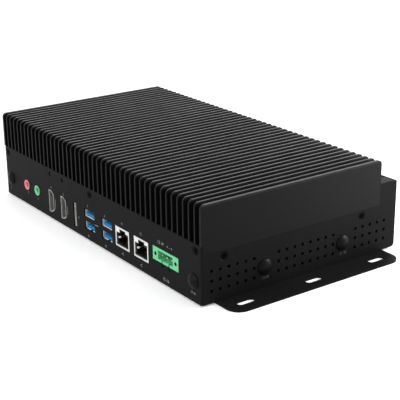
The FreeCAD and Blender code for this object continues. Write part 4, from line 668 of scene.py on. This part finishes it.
def addEarThreads(values):
    profile = [(values["outer"], values["back"]), (values["outer"], values["front"])]
    turns = int((values["back"] - values["front"]) / values["pitch"])
    for i in range(turns):                  # ridges seen as the thread's crests and roots
        y = values["front"] + i * values["pitch"]
        profile += [(values["root"], y), (values["crest"], y + values["pitch"] / 2)]
    profile.append((values["root"], values["back"]))
    angles = [2 * math.pi * k / values["sides"] for k in range(values["sides"])]
    shape = bmesh.new()
    for side in (-1, 1):
        middle = values["x"] + side * values["apart"] / 2
        rings = []
        for radius, y in profile:
            circle = [(middle + radius * math.cos(a), values["z"] + radius * math.sin(a)) for a in angles]
            rings.append([shape.verts.new(onCase(x, y, z)) for x, z in circle])
        joinRings(shape, rings + rings[:1])
    addPiece("power_ear_threads", finishShape("power_ear_threads", shape), "threadSteelAndSlotShade")


addEarThreads(earThreads)
print("power header's sleeves added")


# Plain port numbers, signs and strokes in pale ink, on the port side and on the right wall.
# A mark is its text, its middle (X and Z, or Y and Z on the wall) and its height.
# A stroke is its middle, its width and its height.
marks = {
    "thick": 0.03,
    "clear": 0.01,            # gap between the ink and the metal
    "figureShare": 0.7,       # a figure's height as a share of the letters' size
    "curveSteps": 3,
    "wallPlace": 127,         # X of the right wall's outside
    "front": (
        ("1", -119.5, 5.6, 1.9), ("2", -91.5, 9.2, 1.7), ("3", -76.3, 8.8, 1.7), ("4", -55.1, 23.0, 1.7),
        ("5", -37.2, 22.8, 1.7), ("6", -16.1, 12.3, 1.8), ("7", -3.5, 23.8, 1.7), ("8", -3.6, 2.7, 1.7),
        ("9", 18.6, 23.3, 1.7), ("10", 18.7, 2.6, 1.7), ("11", 40.1, 24.6, 1.7), ("12", 62.2, 24.9, 1.7),
        ("<", 40.2, 4.0, 3.0), ("<", 62.2, 3.6, 3.0), ("13 14", 84.5, 26.0, 2.1), ("< - +", 94.3, 25.8, 2.1),
        ("15 16", 89.7, 3.4, 2.1), ("17 18", 118.3, 5.5, 1.5)),
    "wall": (("19 20", 47.0, 6.0, 1.7), ("21 22", 110.2, 6.2, 1.7)),
    "strokes": ((-49.6, 12.1, 0.4, 7.0), (-32.0, 12.5, 0.4, 6.6), (7.7, 13.6, 4.2, 0.45)),
}


def addMark(shape, text, height, turn, values):
    letters = bpy.data.curves.new("mark", "FONT")
    letters.body = text
    letters.size = height / perMetre / values["figureShare"]
    letters.align_x = "CENTER"
    letters.align_y = "CENTER"
    letters.extrude = values["thick"] / perMetre / 2
    letters.resolution_u = values["curveSteps"]
    holder = bpy.data.objects.new("mark", letters)
    bpy.context.scene.collection.objects.link(holder)
    bpy.context.view_layer.update()
    ready = holder.evaluated_get(bpy.context.evaluated_depsgraph_get())
    mesh = bpy.data.meshes.new_from_object(ready)
    bpy.data.objects.remove(holder)
    mesh.transform(turn)
    shape.from_mesh(mesh)
    bpy.data.meshes.remove(mesh)


def addMarks(values):
    lift = values["thick"] / 2 + values["clear"]
    toFront = Matrix(((1, 0, 0), (0, 0, -1), (0, 1, 0))).to_4x4()
    toWall = Matrix(((0, 0, 1), (1, 0, 0), (0, 1, 0))).to_4x4()
    shape = bmesh.new()
    for text, x, z, height in values["front"]:
        turn = Matrix.Translation(onCase(x, -lift, z)) @ toFront
        addMark(shape, text, height, turn, values)
    for x, z, wide, high in values["strokes"]:
        ends = (onCase(x, -lift, z - high / 2), onCase(x, -lift, z), onCase(x, -lift, z + high / 2))
        addStrip(shape, ends, (1, 0, 0), wide, values["thick"])
    addPiece("port_marks", finishShape("port_marks", shape), "paleInk")
    shape = bmesh.new()
    for text, y, z, height in values["wall"]:
        turn = Matrix.Translation(onCase(values["wallPlace"] + lift, y, z)) @ toWall
        addMark(shape, text, height, turn, values)
    addPiece("wall_marks", finishShape("wall_marks", shape), "dimInk")


addMarks(marks)
print("marks added")
